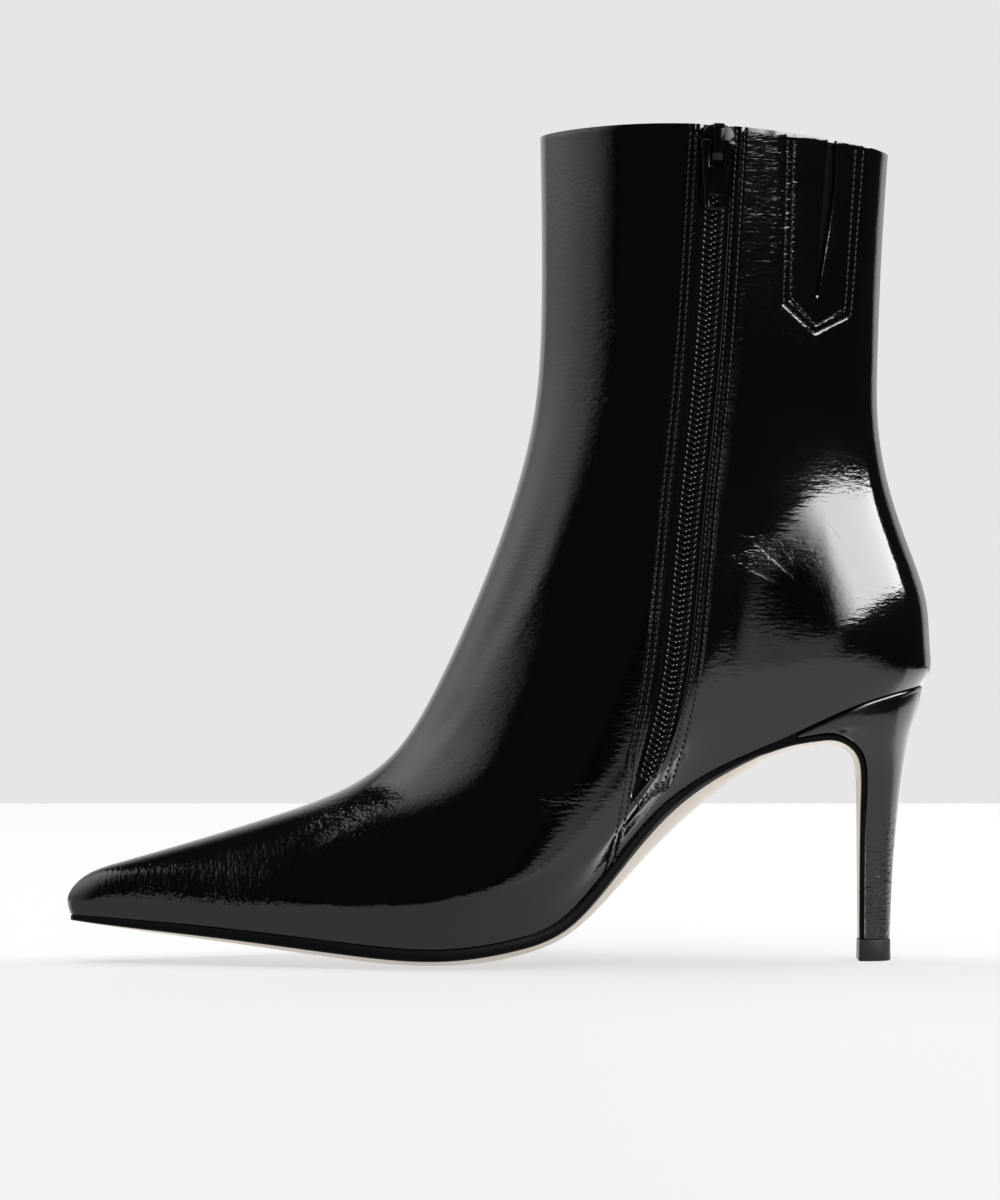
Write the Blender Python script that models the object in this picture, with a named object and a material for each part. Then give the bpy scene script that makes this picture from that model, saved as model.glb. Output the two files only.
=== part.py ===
"""Pointed-toe ankle boot for the right foot: a zipped leather upper on a thin outsole and a slim heel.

All sizes below are in millimetres and become metres when a mesh is made. +Z is up, the toe points
along -X, the inner (zipped) side faces -Y, and the origin is on the floor under the middle of the boot.
"""

import bisect
import functools
import math

import bmesh
import bpy
import numpy as np
from mathutils import Vector

MM = 0.001

# Driving sizes
WALL = 1.8                  # leather and lining together
SEAT_GAP = 0.3              # clearance between pieces that meet
TOE_X, HEEL_X = -128.0, 126.8
INNER, OUTER = -1, 1        # the two sides of the foot, as the sign of Y
MIDDLE = (0.15, 0.07, 0.0)  # middle of the overall box in the tables below; it becomes the origin

# Settings of the searches and of the shading
SURFACE_STEP = 0.004        # share and level over which a slope is measured
HALVINGS = 24               # steps of a search by halving
RING_ENDS = (0.02, 0.98)    # shares between which drawn lines are looked for
SLOPE_STEP = 0.5            # length over which the slope of the bottom is measured
SHARP_EDGE_DEG = 35

# Side view of the upper: the ridge from the toe up the front, and the back from the heel seat up
RIDGE = {
    "x": (-128.0, -128.9, -126.2, -114.0, -90.0, -66.0, -45.0, -32.0, -20.7, -8.7, 3.3, 10.2, 12.6, 12.2),
    "z": (14.6, 18.6, 23.7, 29.6, 36.5, 44.0, 52.3, 61.8, 78.5, 104.0, 135.5, 163.0, 198.0, 246.6),
}
BACK = {
    "x": (126.8, 128.8, 129.0, 127.9, 122.9, 116.9, 113.5, 113.3, 114.6, 116.4),
    "z": (82.9, 86.6, 93.0, 107.0, 123.0, 141.0, 160.0, 180.0, 213.0, 241.0),
}

# Height of the collar edge along its share from back to front
COLLAR = {
    "share": (0.0, 0.25, 0.5, 0.75, 1.0),
    "z": (241.0, 244.3, 247.0, 247.7, 246.6),
}

# Feather line, where the upper meets the sole: its height on the inner and the outer side, and how far
# the bottom of the last swells below it in the middle
FEATHER = {
    "x": (126.8, 105.0, 85.0, 65.0, 46.0, 32.0, 19.0, 5.0, -15.0, -45.0, -85.0, -128.0),
    "inner_z": (82.9, 77.0, 67.8, 58.8, 45.4, 29.0, 14.9, 9.0, 6.1, 7.7, 11.6, 14.6),
    "outer_z": (82.9, 77.0, 67.8, 56.0, 40.2, 25.2, 13.0, 7.9, 6.1, 7.7, 11.6, 14.6),
    "camber": (0.0, 0.0, 0.2, 1.2, 1.8, 1.6, 2.0, 3.2, 3.8, 3.4, 2.2, 0.3),
}

# How far the middle of the foot swings to the outer side, along the length
SWING = {
    "x": (126.8, 90.0, 50.0, 10.0, -30.0, -80.0, -128.0),
    "y": (0.0, 0.3, 3.0, 1.0, -0.5, -3.0, -7.5),
}

# Rings of the upper from the feather line (level 0) to the collar (level 1): half widths at five
# stations between back and front, and the radius of the ring's two ends seen from above
STATION = (0.08, 0.30, 0.52, 0.70, 0.88)
RING = {
    "level": (0.00, 0.05, 0.12, 0.22, 0.36, 0.55, 0.78, 1.00),
    "heel": (24.0, 26.4, 27.0, 25.6, 22.4, 19.0, 18.4, 18.8),
    "waist": (22.6, 26.4, 29.6, 30.6, 29.8, 28.4, 28.8, 30.0),
    "ball": (35.6, 38.2, 37.4, 35.2, 32.6, 30.4, 31.0, 32.4),
    "vamp": (29.6, 31.6, 30.6, 29.8, 28.6, 27.4, 28.2, 29.4),
    "toe": (14.0, 16.0, 17.2, 18.4, 19.0, 19.4, 20.2, 21.0),
    "back_radius": (25.0, 27.0, 27.0, 24.5, 21.0, 18.5, 19.0, 20.5),
    "front_radius": (4.0, 5.5, 7.0, 9.5, 13.0, 17.0, 19.5, 20.5),
}

# Zip opening on the inner side, from the collar down to the seam that runs on to the sole
ZIP_TABLE = {
    "z": (28.0, 45.0, 58.0, 77.0, 108.0, 137.0, 166.0, 220.0, 247.0),
    "x": (33.7, 40.2, 44.3, 49.2, 53.3, 55.9, 58.9, 62.7, 64.2),
    "half_gap": (3.0, 3.2, 3.6, 4.2, 4.3, 4.3, 4.3, 4.3, 4.3),
}
ZIP_FOOT_Z = 53.0           # lower end of the opening

# Slit over the elastic at the top of the back quarter
SLIT_TABLE = {
    "z": (70.0, 140.0, 197.5, 215.0, 230.0, 247.0),
    "x": (98.0, 92.5, 93.4, 95.6, 97.2, 98.2),
    "half_gap": (3.0, 2.0, 0.5, 1.3, 1.7, 1.3),
}
SLIT_FOOT_Z = 197.5

# Mesh of the upper: rings between the sole, the foot of the zip, the foot of the slit and the collar,
# and columns between the drawn lines
LOWER_RINGS, MIDDLE_RINGS, UPPER_RINGS = 8, 10, 4
TOE_CROWDING = 1.8          # power that crowds the lowest rings, for the round of the toe
COLUMNS = {"heel": 4, "slit": 1, "quarter": 6, "zip": 1, "vamp": 18, "outer": 34}

# Outsole, a thin sole that runs on down the breast of the heel
SOLE = {
    "x": (-127.6, -110.0, -80.0, -45.0, -15.0, 10.0, 32.0, 50.0, 64.0, 79.0),
    "thickness": (1.4, 2.2, 2.8, 3.2, 3.2, 3.0, 2.6, 2.2, 1.8, 1.5),
    "margin": (0.5, 0.9, 1.0, 1.0, 1.0, 0.8, 0.5, 0.3, 0.2, 0.2),
    "swell": (0.0, 0.0, 0.0, 0.0, 0.0, 0.0, 0.0, 0.2, 0.9, 2.2),
}
BREAST = {
    "x": (76.1, 82.1, 88.1, 94.1, 99.0, 103.0, 105.8, 107.3, 107.6, 107.6, 107.6, 107.6),
    "z": (58.7, 61.2, 63.0, 64.2, 64.8, 63.6, 61.0, 56.0, 48.0, 35.0, 20.0, 6.8),
    "half_width": (22.8, 23.0, 23.2, 22.6, 20.8, 18.0, 14.6, 11.4, 8.8, 6.6, 5.2, 4.6),
    "swell": (2.4, 2.6, 2.6, 2.3, 1.8, 1.2, 0.7, 0.3, 0.1, 0.0, 0.0, 0.0),
}
WAIST_END_X = 76.0          # here the sole leaves the upper and starts towards the breast
BREAST_START = 0.10         # share of the breast line where the flap's own sections start
FLAP_THICKNESS = 1.5
EDGE_ROUND = 0.35           # share of the thickness taken off the sole's lower edge
BREAST_SHARES = (0.15, 0.18, 0.21, 0.24, 0.27, 0.30, 0.33, 0.36, 0.39, 0.43, 0.48, 0.55, 0.67, 0.83, 1.0)
TOE_STATIONS = (-127.6, -126.9, -125.4, -122.4)
HEEL_STATIONS = (117.5, 120.5, 122.4, 123.4)
COMMON_STATIONS = np.arange(-118.0, 116.0, 6.0).tolist()   # shared, so that facing pieces keep their gap
ACROSS = (-1.0, -0.86, -0.5, -0.25, 0.0, 0.25, 0.5, 0.86, 1.0)

# Heel block: rings from the seat down, each from a place on the breast line to a place on the back line
HEEL = {
    "breast": (0.15, 0.20, 0.25, 0.30, 0.35, 0.39, 0.44, 0.522, 0.673, 0.847, 1.0),
    "back_x": (126.6, 125.9, 125.1, 124.2, 123.2, 122.3, 121.2, 119.9, 118.5, 117.6, 117.1),
    "back_z": (82.5, 78.6, 75.0, 71.6, 68.0, 64.0, 58.0, 48.5, 35.0, 20.0, 6.8),
    "half_width": (24.0, 23.4, 22.2, 20.1, 17.0, 13.9, 11.3, 9.0, 6.7, 5.3, 4.7),
}
HEEL_FRONT_X = 88.5
HEEL_POINTS = 11
TIP_TOP_Z, TIP_FRONT_X, TIP_BACK_X, TIP_HALF = 6.5, 107.4, 117.3, 4.9
TIP_EDGE = 0.5

# Insole on the bottom of the last, inside the wall
INSOLE_THICKNESS, INSOLE_INSET = 2.0, 2.5
INSOLE_ENDS = (-124.6, 123.8)
INSOLE_TOE = (-124.2, -122.4)

# Zip: tape behind the wall, coil in the opening
TAPE_EDGE, TAPE_COLUMNS = 2.0, 8        # the edge is in half gaps of the opening
TAPE_DEPTH, TAPE_THICKNESS = WALL + 0.75, 0.6
TAPE_FOOT_Z, TAPE_TOP = 50.0, 0.99
TAPE_ROWS = 18
COIL = {
    "edge": (-0.74, -0.6, -0.35, 0.0, 0.35, 0.6, 0.74),
    "depth": (1.1, 0.1, -0.3, 0.2, -0.3, 0.1, 1.1),
}
COIL_BASE = WALL + 0.2
COIL_FOOT_Z, COIL_TOP = 54.5, 0.985

# Elastic behind the slit
GORE_TABLE = {
    "z": (70.0, 190.0, 243.0),
    "x": (90.0, 93.3, 95.9),
    "half_gap": (8.0, 10.0, 11.5),
}
GORE_DEPTH, GORE_THICKNESS = WALL + 0.5, 0.8
GORE_FOOT_Z, GORE_RISE, GORE_TOP = 186.5, 8.0, 0.985
GORE_ROWS, GORE_COLUMNS = 7, 6

# Slider and pull, laid out from the pivot: a runs down the zip, b along the boot, c out of the surface
PIVOT_Z, PIVOT_OUT = 241.8, 2.7
SLIDER_SPAN = 0.06          # share of the ring levels that the slider covers
PLATE = {
    "a": (-5.2, -4.4, -2.6, 0.0, 5.0, 10.4),
    "half": (2.4, 3.7, 4.7, 5.0, 4.2, 3.3),
}
PLATE_LOW, PLATE_HIGH = 0.5, 1.7
CROWN_OUTSIDE = {
    "a": (-5.6, -5.4, -3.6, 3.6, 5.4, 5.8),
    "c": (1.2, 3.6, 4.7, 4.7, 3.6, 1.2),
}
CROWN_INSIDE = {
    "a": (-4.0, -4.0, -2.8, 2.8, 4.0, 4.0),
    "c": (1.2, 3.0, 3.7, 3.7, 3.0, 1.2),
}
CROWN_HALF = 1.6
PULL = {
    "a": (-0.6, 0.6, 2.5, 7.2, 9.2, 15.5, 18.6, 19.8),
    "half": (4.5, 5.1, 4.6, 4.15, 3.9, 3.2, 2.75, 2.3),
    "window": (2.2, 2.2, 2.2, 2.2, 2.0, 1.8, 1.6, 1.6),
    "open_below": (False, True, True, False, False, True, False, False),
}
PULL_THICKNESS = 1.2


def spline(knots, values):
    """A natural cubic through the rows of a table, as a function."""
    order = np.argsort(knots)
    k = np.asarray(knots, float)[order]
    f = np.asarray(values, float)[order]
    h = np.diff(k)
    n = len(k)
    system = np.eye(n)
    right = np.zeros(n)
    for i in range(1, n - 1):
        system[i, i - 1:i + 2] = h[i - 1], 2 * (h[i - 1] + h[i]), h[i]
        right[i] = 6 * ((f[i + 1] - f[i]) / h[i] - (f[i] - f[i - 1]) / h[i - 1])
    bend = np.linalg.solve(system, right).tolist()
    k, f, h = k.tolist(), f.tolist(), h.tolist()

    def value(at):
        i = min(max(bisect.bisect_left(k, at) - 1, 0), n - 2)
        a, b = (k[i + 1] - at) / h[i], (at - k[i]) / h[i]
        curve = ((a ** 3 - a) * bend[i] + (b ** 3 - b) * bend[i + 1]) * h[i] ** 2 / 6
        return a * f[i] + b * f[i + 1] + curve

    return value


def clamped_spline(knots, values, first_slope, last_slope):
    """A cubic through the values whose two end slopes are given, as a function."""
    k = np.asarray(knots, float)
    f = np.asarray(values, float)
    h = np.diff(k)
    n = len(k)
    system = np.eye(n)
    right = np.empty(n)
    right[0], right[-1] = first_slope, last_slope
    for i in range(1, n - 1):
        system[i, i - 1:i + 2] = 1 / h[i - 1], 2 * (1 / h[i - 1] + 1 / h[i]), 1 / h[i]
        right[i] = 3 * ((f[i] - f[i - 1]) / h[i - 1] ** 2 + (f[i + 1] - f[i]) / h[i] ** 2)
    slope = np.linalg.solve(system, right).tolist()
    k, f, h = k.tolist(), f.tolist(), h.tolist()

    def value(at):
        i = min(max(bisect.bisect_left(k, at) - 1, 0), n - 2)
        s = (at - k[i]) / h[i]
        rise = f[i + 1] - f[i]
        c = slope[i] * h[i] - rise
        d = rise - slope[i + 1] * h[i]
        return (1 - s) * f[i] + s * f[i + 1] + s * (1 - s) * ((1 - s) * c + s * d)

    return value


def along_path(table):
    """Every column of a table of side view points, as functions of the share of the path's length."""
    x, z = np.asarray(table["x"], float), np.asarray(table["z"], float)
    along = np.concatenate([[0], np.cumsum(np.hypot(np.diff(x), np.diff(z)))])
    along /= along[-1]
    return {name: spline(along, table[name]) for name in table}


ridge = along_path(RIDGE)
back = along_path(BACK)
breast = along_path(BREAST)
collar_z = spline(COLLAR["share"], COLLAR["z"])
swing_y = spline(SWING["x"], SWING["y"])
feather_z = {
    INNER: spline(FEATHER["x"], FEATHER["inner_z"]),
    OUTER: spline(FEATHER["x"], FEATHER["outer_z"]),
}
ring_value = {name: spline(RING["level"], RING[name]) for name in RING if name != "level"}


def angle_of(share):
    """The station angle whose cosine spaces points closely at both ends of a ring."""
    return math.acos(1 - 2 * share)


def place_on(line, share):
    """A point of the ridge or the back in the side view."""
    return np.array([line["x"](share), line["z"](share)])


BACK_FOOT, BACK_TOP = place_on(back, 0), place_on(back, 1)
RIDGE_FOOT, RIDGE_TOP = place_on(ridge, 0), place_on(ridge, 1)


def side_point(share, level, side):
    """Where a ring passes in the side view: share 0 is the back and 1 the front."""
    foot_x = HEEL_X + (TOE_X - HEEL_X) * share
    foot = np.array([foot_x, feather_z[side](foot_x)])
    collar = np.array([BACK_TOP[0] + (RIDGE_TOP[0] - BACK_TOP[0]) * share, collar_z(share)])
    across = (1 - level) * foot + level * collar
    behind = place_on(back, level) - (1 - level) * BACK_FOOT - level * BACK_TOP
    ahead = place_on(ridge, level) - (1 - level) * RIDGE_FOOT - level * RIDGE_TOP
    return across + (1 - share) * behind + share * ahead


@functools.lru_cache(maxsize=None)
def ring_width(level):
    """Half width of one ring, as a function of the share from back to front."""
    row = {name: value(level) for name, value in ring_value.items()}
    length = np.linalg.norm(place_on(ridge, level) - place_on(back, level))
    angles = [0.0, *(angle_of(s) for s in STATION), math.pi]
    widths = [0.0, row["heel"], row["waist"], row["ball"], row["vamp"], row["toe"], 0.0]
    first = math.sqrt(row["back_radius"] * length / 2)
    last = -math.sqrt(row["front_radius"] * length / 2)
    curve = clamped_spline(angles, widths, first, last)
    return lambda share: curve(angle_of(share))


def upper_point(share, level, side):
    """A point on the outer face of the upper."""
    x, z = side_point(share, level, side)
    foot_x = HEEL_X + (TOE_X - HEEL_X) * share
    middle = swing_y(foot_x) * (1 - level) ** 2
    return np.array([x, middle + side * ring_width(level)(share), z])


def outward(share, level, side):
    """The outward normal of the upper, away from the very ends of a ring."""
    step = SURFACE_STEP
    share = min(max(share, 2 * step), 1 - 2 * step)
    low, high = max(level - step, 0), min(level + step, 1)
    along = upper_point(share + step, level, side) - upper_point(share - step, level, side)
    rise = upper_point(share, high, side) - upper_point(share, low, side)
    normal = np.cross(along, rise) * side
    return normal / np.linalg.norm(normal)


def inset_point(share, level, side, depth):
    """A point that lies a depth below the upper's outer face."""
    return upper_point(share, level, side) - depth * outward(share, level, side)


class Line:
    """A line drawn on the inner side in the side view, with a half gap to either side of it."""

    def __init__(self, table):
        self.x = spline(table["z"], table["x"])
        self.half_gap = spline(table["z"], table["half_gap"])


@functools.lru_cache(maxsize=None)
def share_on_line(line, level, edge):
    """Where a ring meets a drawn line: edge -1, 0 or 1 for its front, middle or rear."""
    low, high = RING_ENDS
    for _ in range(HALVINGS):
        middle = (low + high) / 2
        x, z = side_point(middle, level, INNER)
        if x > line.x(z) + edge * line.half_gap(z):
            low = middle
        else:
            high = middle
    return low


@functools.lru_cache(maxsize=None)
def level_on_line(line, height, edge=0.0):
    """The level of the ring that crosses a drawn line, or an edge of it, at a height."""
    low, high = 0.0, 1.0
    for _ in range(HALVINGS):
        middle = (low + high) / 2
        if side_point(share_on_line(line, middle, edge), middle, INNER)[1] < height:
            low = middle
        else:
            high = middle
    return low


ZIP = Line(ZIP_TABLE)
SLIT = Line(SLIT_TABLE)
GORE = Line(GORE_TABLE)


def material(name, colour, roughness, metallic=0.0):
    """A plain finish with the part's colour."""
    made = bpy.data.materials.new(name)
    made.use_nodes = True
    shader = made.node_tree.nodes["Principled BSDF"]
    shader.inputs["Base Color"].default_value = (*colour, 1.0)
    shader.inputs["Roughness"].default_value = roughness
    shader.inputs["Metallic"].default_value = metallic
    made.diffuse_color = (*colour, 1.0)
    return made


def add_object(name, points, faces, finish, middle=MIDDLE):
    """A named mesh object from points in millimetres, with its middle at the object's origin."""
    mesh = bpy.data.meshes.new(name)
    mesh.from_pydata([(Vector(p) - Vector(middle)) * MM for p in points], [], faces)
    mesh.materials.append(finish)
    mesh.shade_smooth()
    mesh.set_sharp_from_angle(angle=math.radians(SHARP_EDGE_DEG))
    made = bpy.data.objects.new(name, mesh)
    bpy.context.scene.collection.objects.link(made)
    return made


def face_outward(made):
    """Turns the faces of a closed mesh outward."""
    edit = bmesh.new()
    edit.from_mesh(made.data)
    bmesh.ops.recalc_face_normals(edit, faces=edit.faces)
    edit.to_mesh(made.data)
    edit.free()


def loft(name, loops, finish):
    """A closed solid through loops of equal length, the first and last of them capped."""
    count = len(loops[0])
    points = [p for loop in loops for p in loop]
    faces = [tuple(range(count))[::-1]]
    for i in range(len(loops) - 1):
        a, b = i * count, (i + 1) * count
        for j in range(count):
            k = (j + 1) % count
            faces.append((a + j, a + k, b + k, b + j))
    last = (len(loops) - 1) * count
    faces.append(tuple(range(last, last + count)))
    made = add_object(name, points, faces, finish)
    face_outward(made)
    return made


def slab(name, front, back, finish):
    """A closed solid between two grids of points of the same size."""
    rows, columns = len(front), len(front[0])
    rim = [(i, 0) for i in range(rows)] + [(rows - 1, j) for j in range(1, columns)]
    rim += [(i, columns - 1) for i in range(rows - 2, -1, -1)] + [(0, j) for j in range(columns - 2, 0, -1)]
    points = [p for row in front for p in row] + [p for row in back for p in row]
    far = rows * columns
    faces = []
    for i in range(rows - 1):
        for j in range(columns - 1):
            a = i * columns + j
            quad = (a, a + 1, a + columns + 1, a + columns)
            faces += [quad, tuple(k + far for k in quad[::-1])]
    for (i, j), (k, m) in zip(rim, rim[1:] + rim[:1]):
        a, b = i * columns + j, k * columns + m
        faces.append((a, b, b + far, a + far))
    made = add_object(name, points, faces, finish)
    face_outward(made)
    return made


def ring_levels():
    """Ring levels from the sole up, with one at the foot of the zip and one at the foot of the slit."""
    zip_foot, slit_foot = level_on_line(ZIP, ZIP_FOOT_Z), level_on_line(SLIT, SLIT_FOOT_Z)
    lower = zip_foot * np.linspace(0, 1, LOWER_RINGS + 1)[:-1] ** TOE_CROWDING
    middle = np.linspace(zip_foot, slit_foot, MIDDLE_RINGS + 1)[:-1]
    top = np.linspace(slit_foot, 1, UPPER_RINGS + 1)
    return [*lower, *middle, *top], LOWER_RINGS, LOWER_RINGS + MIDDLE_RINGS


def ring_columns(level):
    """(share, side) round one ring, from the back along the inner side to the toe and back again."""
    marks = [0.0]
    for line in (SLIT, ZIP):
        marks += [angle_of(share_on_line(line, level, edge)) for edge in (1, -1)]
    marks.append(math.pi)
    counts = [COLUMNS[n] for n in ("heel", "slit", "quarter", "zip", "vamp")]
    angles = []
    for start, end, count in zip(marks, marks[1:], counts):
        angles += list(np.linspace(start, end, count + 1)[:-1])
    inner = [((1 - math.cos(a)) / 2, INNER) for a in angles]
    outer = [((1 - math.cos(a)) / 2, OUTER) for a in np.linspace(math.pi, 0, COLUMNS["outer"] + 1)[:-1]]
    return inner + outer


def make_upper(leather):
    """One hollow wall, open at the collar, under the foot, along the zip and at the slit."""
    levels, zip_row, slit_row = ring_levels()
    points = []
    for level in levels:
        points += [upper_point(share, level, side) for share, side in ring_columns(level)]
    count = len(points) // len(levels)
    slit_column = COLUMNS["heel"]
    zip_column = slit_column + COLUMNS["slit"] + COLUMNS["quarter"]
    faces = []
    for i in range(len(levels) - 1):
        for j in range(count):
            if (j == zip_column and i >= zip_row) or (j == slit_column and i >= slit_row):
                continue
            k = (j + 1) % count
            faces.append((i * count + j, i * count + count + j, i * count + count + k, i * count + k))
    upper = add_object("upper", points, faces, leather)
    wall = upper.modifiers.new("wall", "SOLIDIFY")
    wall.thickness = WALL * MM
    wall.offset = -1
    wall.use_even_offset = True
    return upper


feather_width = ring_width(0.0)
camber_at = spline(FEATHER["x"], FEATHER["camber"])


def share_at(x):
    """The share from back to front of a place on the feather line."""
    return (HEEL_X - x) / (HEEL_X - TOE_X)


def last_point(x, offset):
    """A point on the bottom of the last, at an offset from the middle of the foot."""
    q = offset / feather_width(share_at(x))
    inner, outer = feather_z[INNER](x), feather_z[OUTER](x)
    z = (inner + outer) / 2 + q * (outer - inner) / 2
    swell = camber_at(x) * max(0.0, 1 - q * q)
    return np.array([x, swing_y(x) + offset, z]) + downward(x) * swell


def downward(x):
    """Unit normal of the bottom in the side view, pointing down."""
    step = SLOPE_STEP
    height = [(feather_z[INNER](at) + feather_z[OUTER](at)) / 2 for at in (x - step, x + step)]
    rise = (height[1] - height[0]) / (2 * step)
    return np.array([rise, 0.0, -1.0]) / math.hypot(rise, 1.0)


def sole_section(x):
    """Closed outline of the sole under one station: along the top, then back along the tread."""
    thickness, margin, swell = (spline(SOLE["x"], SOLE[n])(x) for n in ("thickness", "margin", "swell"))
    half = feather_width(share_at(x)) + margin
    top, tread = [], []
    for q in ACROSS:
        face = last_point(x, q * half) + downward(x) * SEAT_GAP
        depth = thickness * (1 - EDGE_ROUND) if abs(q) == 1 else thickness + swell * (1 - q * q)
        lower = face + downward(x) * depth
        lower[2] = max(lower[2], 0.0)
        top.append(face)
        tread.append(lower)
    return top + tread[::-1]


def breast_frame(share):
    """The middle of the breast line, the direction into the heel, and the points across it."""
    step = SURFACE_STEP
    ahead, behind = min(share + step, 1), max(share - step, 0)
    along = np.array([breast["x"](ahead) - breast["x"](behind), 0, breast["z"](ahead) - breast["z"](behind)])
    inward = np.array([-along[2], 0, along[0]]) / np.linalg.norm(along)
    x, half, swell = breast["x"](share), breast["half_width"](share), breast["swell"](share)
    middle = np.array([x, swing_y(x), breast["z"](share)])
    face = [middle + np.array([0, q * half, 0]) + inward * swell * q * q for q in ACROSS]
    return middle, inward, face


def breast_section(share):
    """Closed outline of the flap on the heel breast, square to its side view."""
    middle, inward, face = breast_frame(share)
    back = [p + inward * FLAP_THICKNESS for p in face]
    if share == 1:
        for p in back:
            p[2] = middle[2]
    return back + face[::-1]


def make_outsole(finish):
    """The sole under the upper and, past the waist, the flap down the heel."""
    loops = [sole_section(x) for x in (*TOE_STATIONS, *COMMON_STATIONS) if x <= WAIST_END_X]
    loops += [breast_section(share) for share in (BREAST_START, *BREAST_SHARES)]
    return loft("outsole", loops, finish)


def heel_outline(front, back, half):
    """A U shape from the breast round the back, with the proportions of the heel seat."""
    whole = feather_width(share_at(HEEL_FRONT_X))
    inner, outer = [], []
    for turn in np.linspace(0, math.pi / 2, HEEL_POINTS):
        s = math.sin(turn)
        spread = feather_width(share_at(HEEL_FRONT_X + (HEEL_X - HEEL_FRONT_X) * s)) / whole
        point = front + (np.asarray(back) - front) * s
        inner.append(point + np.array([0, -half * spread, 0]))
        outer.append(point + np.array([0, half * spread, 0]))
    return inner + outer[-2::-1]


def make_heel(finish):
    """The covered block behind the flap, its seat following the upper."""
    loops = []
    seat_front = np.array([HEEL_FRONT_X, swing_y(HEEL_FRONT_X), 0.0])
    rows = {name: spline(HEEL["breast"], HEEL[name]) for name in ("back_x", "back_z", "half_width")}
    for share in BREAST_SHARES:
        back_at, back_height, half = (rows[name](share) for name in rows)
        _, inward, face = breast_frame(share)
        face = [p + inward * (FLAP_THICKNESS + SEAT_GAP) for p in face]
        if share == 1:
            for p in face:
                p[2] = back_height
        corner = (face[0] + face[-1]) / 2
        loop = heel_outline(corner, np.array([back_at, 0.0, back_height]), half) + face[-2:0:-1]
        loops.append(loop)
    seat = heel_outline(seat_front, np.array([HEEL["back_x"][0], 0.0, 0.0]), HEEL["half_width"][0])
    seat += [seat_front + np.array([0, q * HEEL["half_width"][0], 0]) for q in ACROSS[-2:0:-1]]
    for p in seat:
        p[2] = feather_z[INNER](p[0]) - SEAT_GAP
    loops[0] = seat
    return loft("heel", loops, finish)


def make_heel_tip(finish):
    """The top lift: a flat piece under the heel and the end of the flap."""
    loops = []
    for z, inset in ((0.0, TIP_EDGE), (TIP_EDGE, 0.0), (TIP_TOP_Z, 0.0)):
        front = np.array([TIP_FRONT_X + inset, swing_y(TIP_FRONT_X), z])
        back = np.array([TIP_BACK_X - inset, 0.0, z])
        loops.append(heel_outline(front, back, TIP_HALF - inset))
    return loft("heel_tip", loops, finish)


def insole_section(x):
    """Closed outline of the insole at one station."""
    start, end = INSOLE_ENDS
    stretched = TOE_X + (HEEL_X - TOE_X) * (x - start) / (end - start)
    half = min(feather_width(share_at(x)) - INSOLE_INSET, feather_width(share_at(stretched)))
    lower = [last_point(x, q * half) for q in ACROSS]
    return [p - downward(x) * INSOLE_THICKNESS for p in lower] + lower[::-1]


def make_insole(finish):
    """A thin board from the toe to the heel seat."""
    loops = [insole_section(x) for x in (*INSOLE_TOE, *COMMON_STATIONS, *HEEL_STATIONS)]
    return loft("insole", loops, finish)


def lining_slab(name, line, edges, depths, foot, top, rows, finish):
    """A slab under the inner side's surface; depths holds (front, back) and foot gives the lowest level."""
    front, back = [], []
    for row in range(rows):
        front_row, back_row = [], []
        for edge, (near, far) in zip(edges, depths):
            low = foot(edge)
            level = low + (top - low) * row / (rows - 1)
            share = share_on_line(line, level, edge)
            front_row.append(inset_point(share, level, INNER, near))
            back_row.append(inset_point(share, level, INNER, far))
        front.append(front_row)
        back.append(back_row)
    return slab(name, front, back, finish)


def make_zip_tape(finish):
    """The woven tape that closes the zip opening from behind."""
    edges = np.linspace(-TAPE_EDGE, TAPE_EDGE, TAPE_COLUMNS + 1)
    depths = [(TAPE_DEPTH, TAPE_DEPTH + TAPE_THICKNESS)] * len(edges)
    foot = level_on_line(ZIP, TAPE_FOOT_Z)
    return lining_slab("zip_tape", ZIP, edges, depths, lambda edge: foot, TAPE_TOP, TAPE_ROWS, finish)


def make_zip_coil(finish):
    """The closed chain as one ribbed bar in the opening."""
    depths = [(near, COIL_BASE) for near in COIL["depth"]]
    foot = level_on_line(ZIP, COIL_FOOT_Z)
    edges, rows = COIL["edge"], TAPE_ROWS
    return lining_slab("zip_coil", ZIP, edges, depths, lambda edge: foot, COIL_TOP, rows, finish)


def make_gore(finish):
    """The elastic behind the slit, with a pointed lower end."""
    edges = np.linspace(-1, 1, GORE_COLUMNS + 1)
    depths = [(GORE_DEPTH, GORE_DEPTH + GORE_THICKNESS)] * len(edges)

    def foot(edge):
        return level_on_line(GORE, GORE_FOOT_Z + GORE_RISE * abs(edge), edge)

    return lining_slab("gore_elastic", GORE, edges, depths, foot, GORE_TOP, GORE_ROWS, finish)


def zip_frame():
    """The pivot and the three directions of the slider, on the inner side at the top of the zip."""
    level = level_on_line(ZIP, PIVOT_Z)
    share = share_on_line(ZIP, level, 0)
    out = outward(share, level, INNER)
    below = level - SLIDER_SPAN
    down = upper_point(share_on_line(ZIP, below, 0), below, INNER) - upper_point(share, level, INNER)
    down -= out * np.dot(out, down)
    down /= np.linalg.norm(down)
    pivot = upper_point(share, level, INNER) + out * PIVOT_OUT
    return pivot, down, np.cross(out, down), out


def placed(frame, a, b, c):
    """A point of the slider or pull; c is measured from the surface under the pivot."""
    pivot, down, side, out = frame
    return pivot + a * down + b * side + (c - PIVOT_OUT) * out


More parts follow.
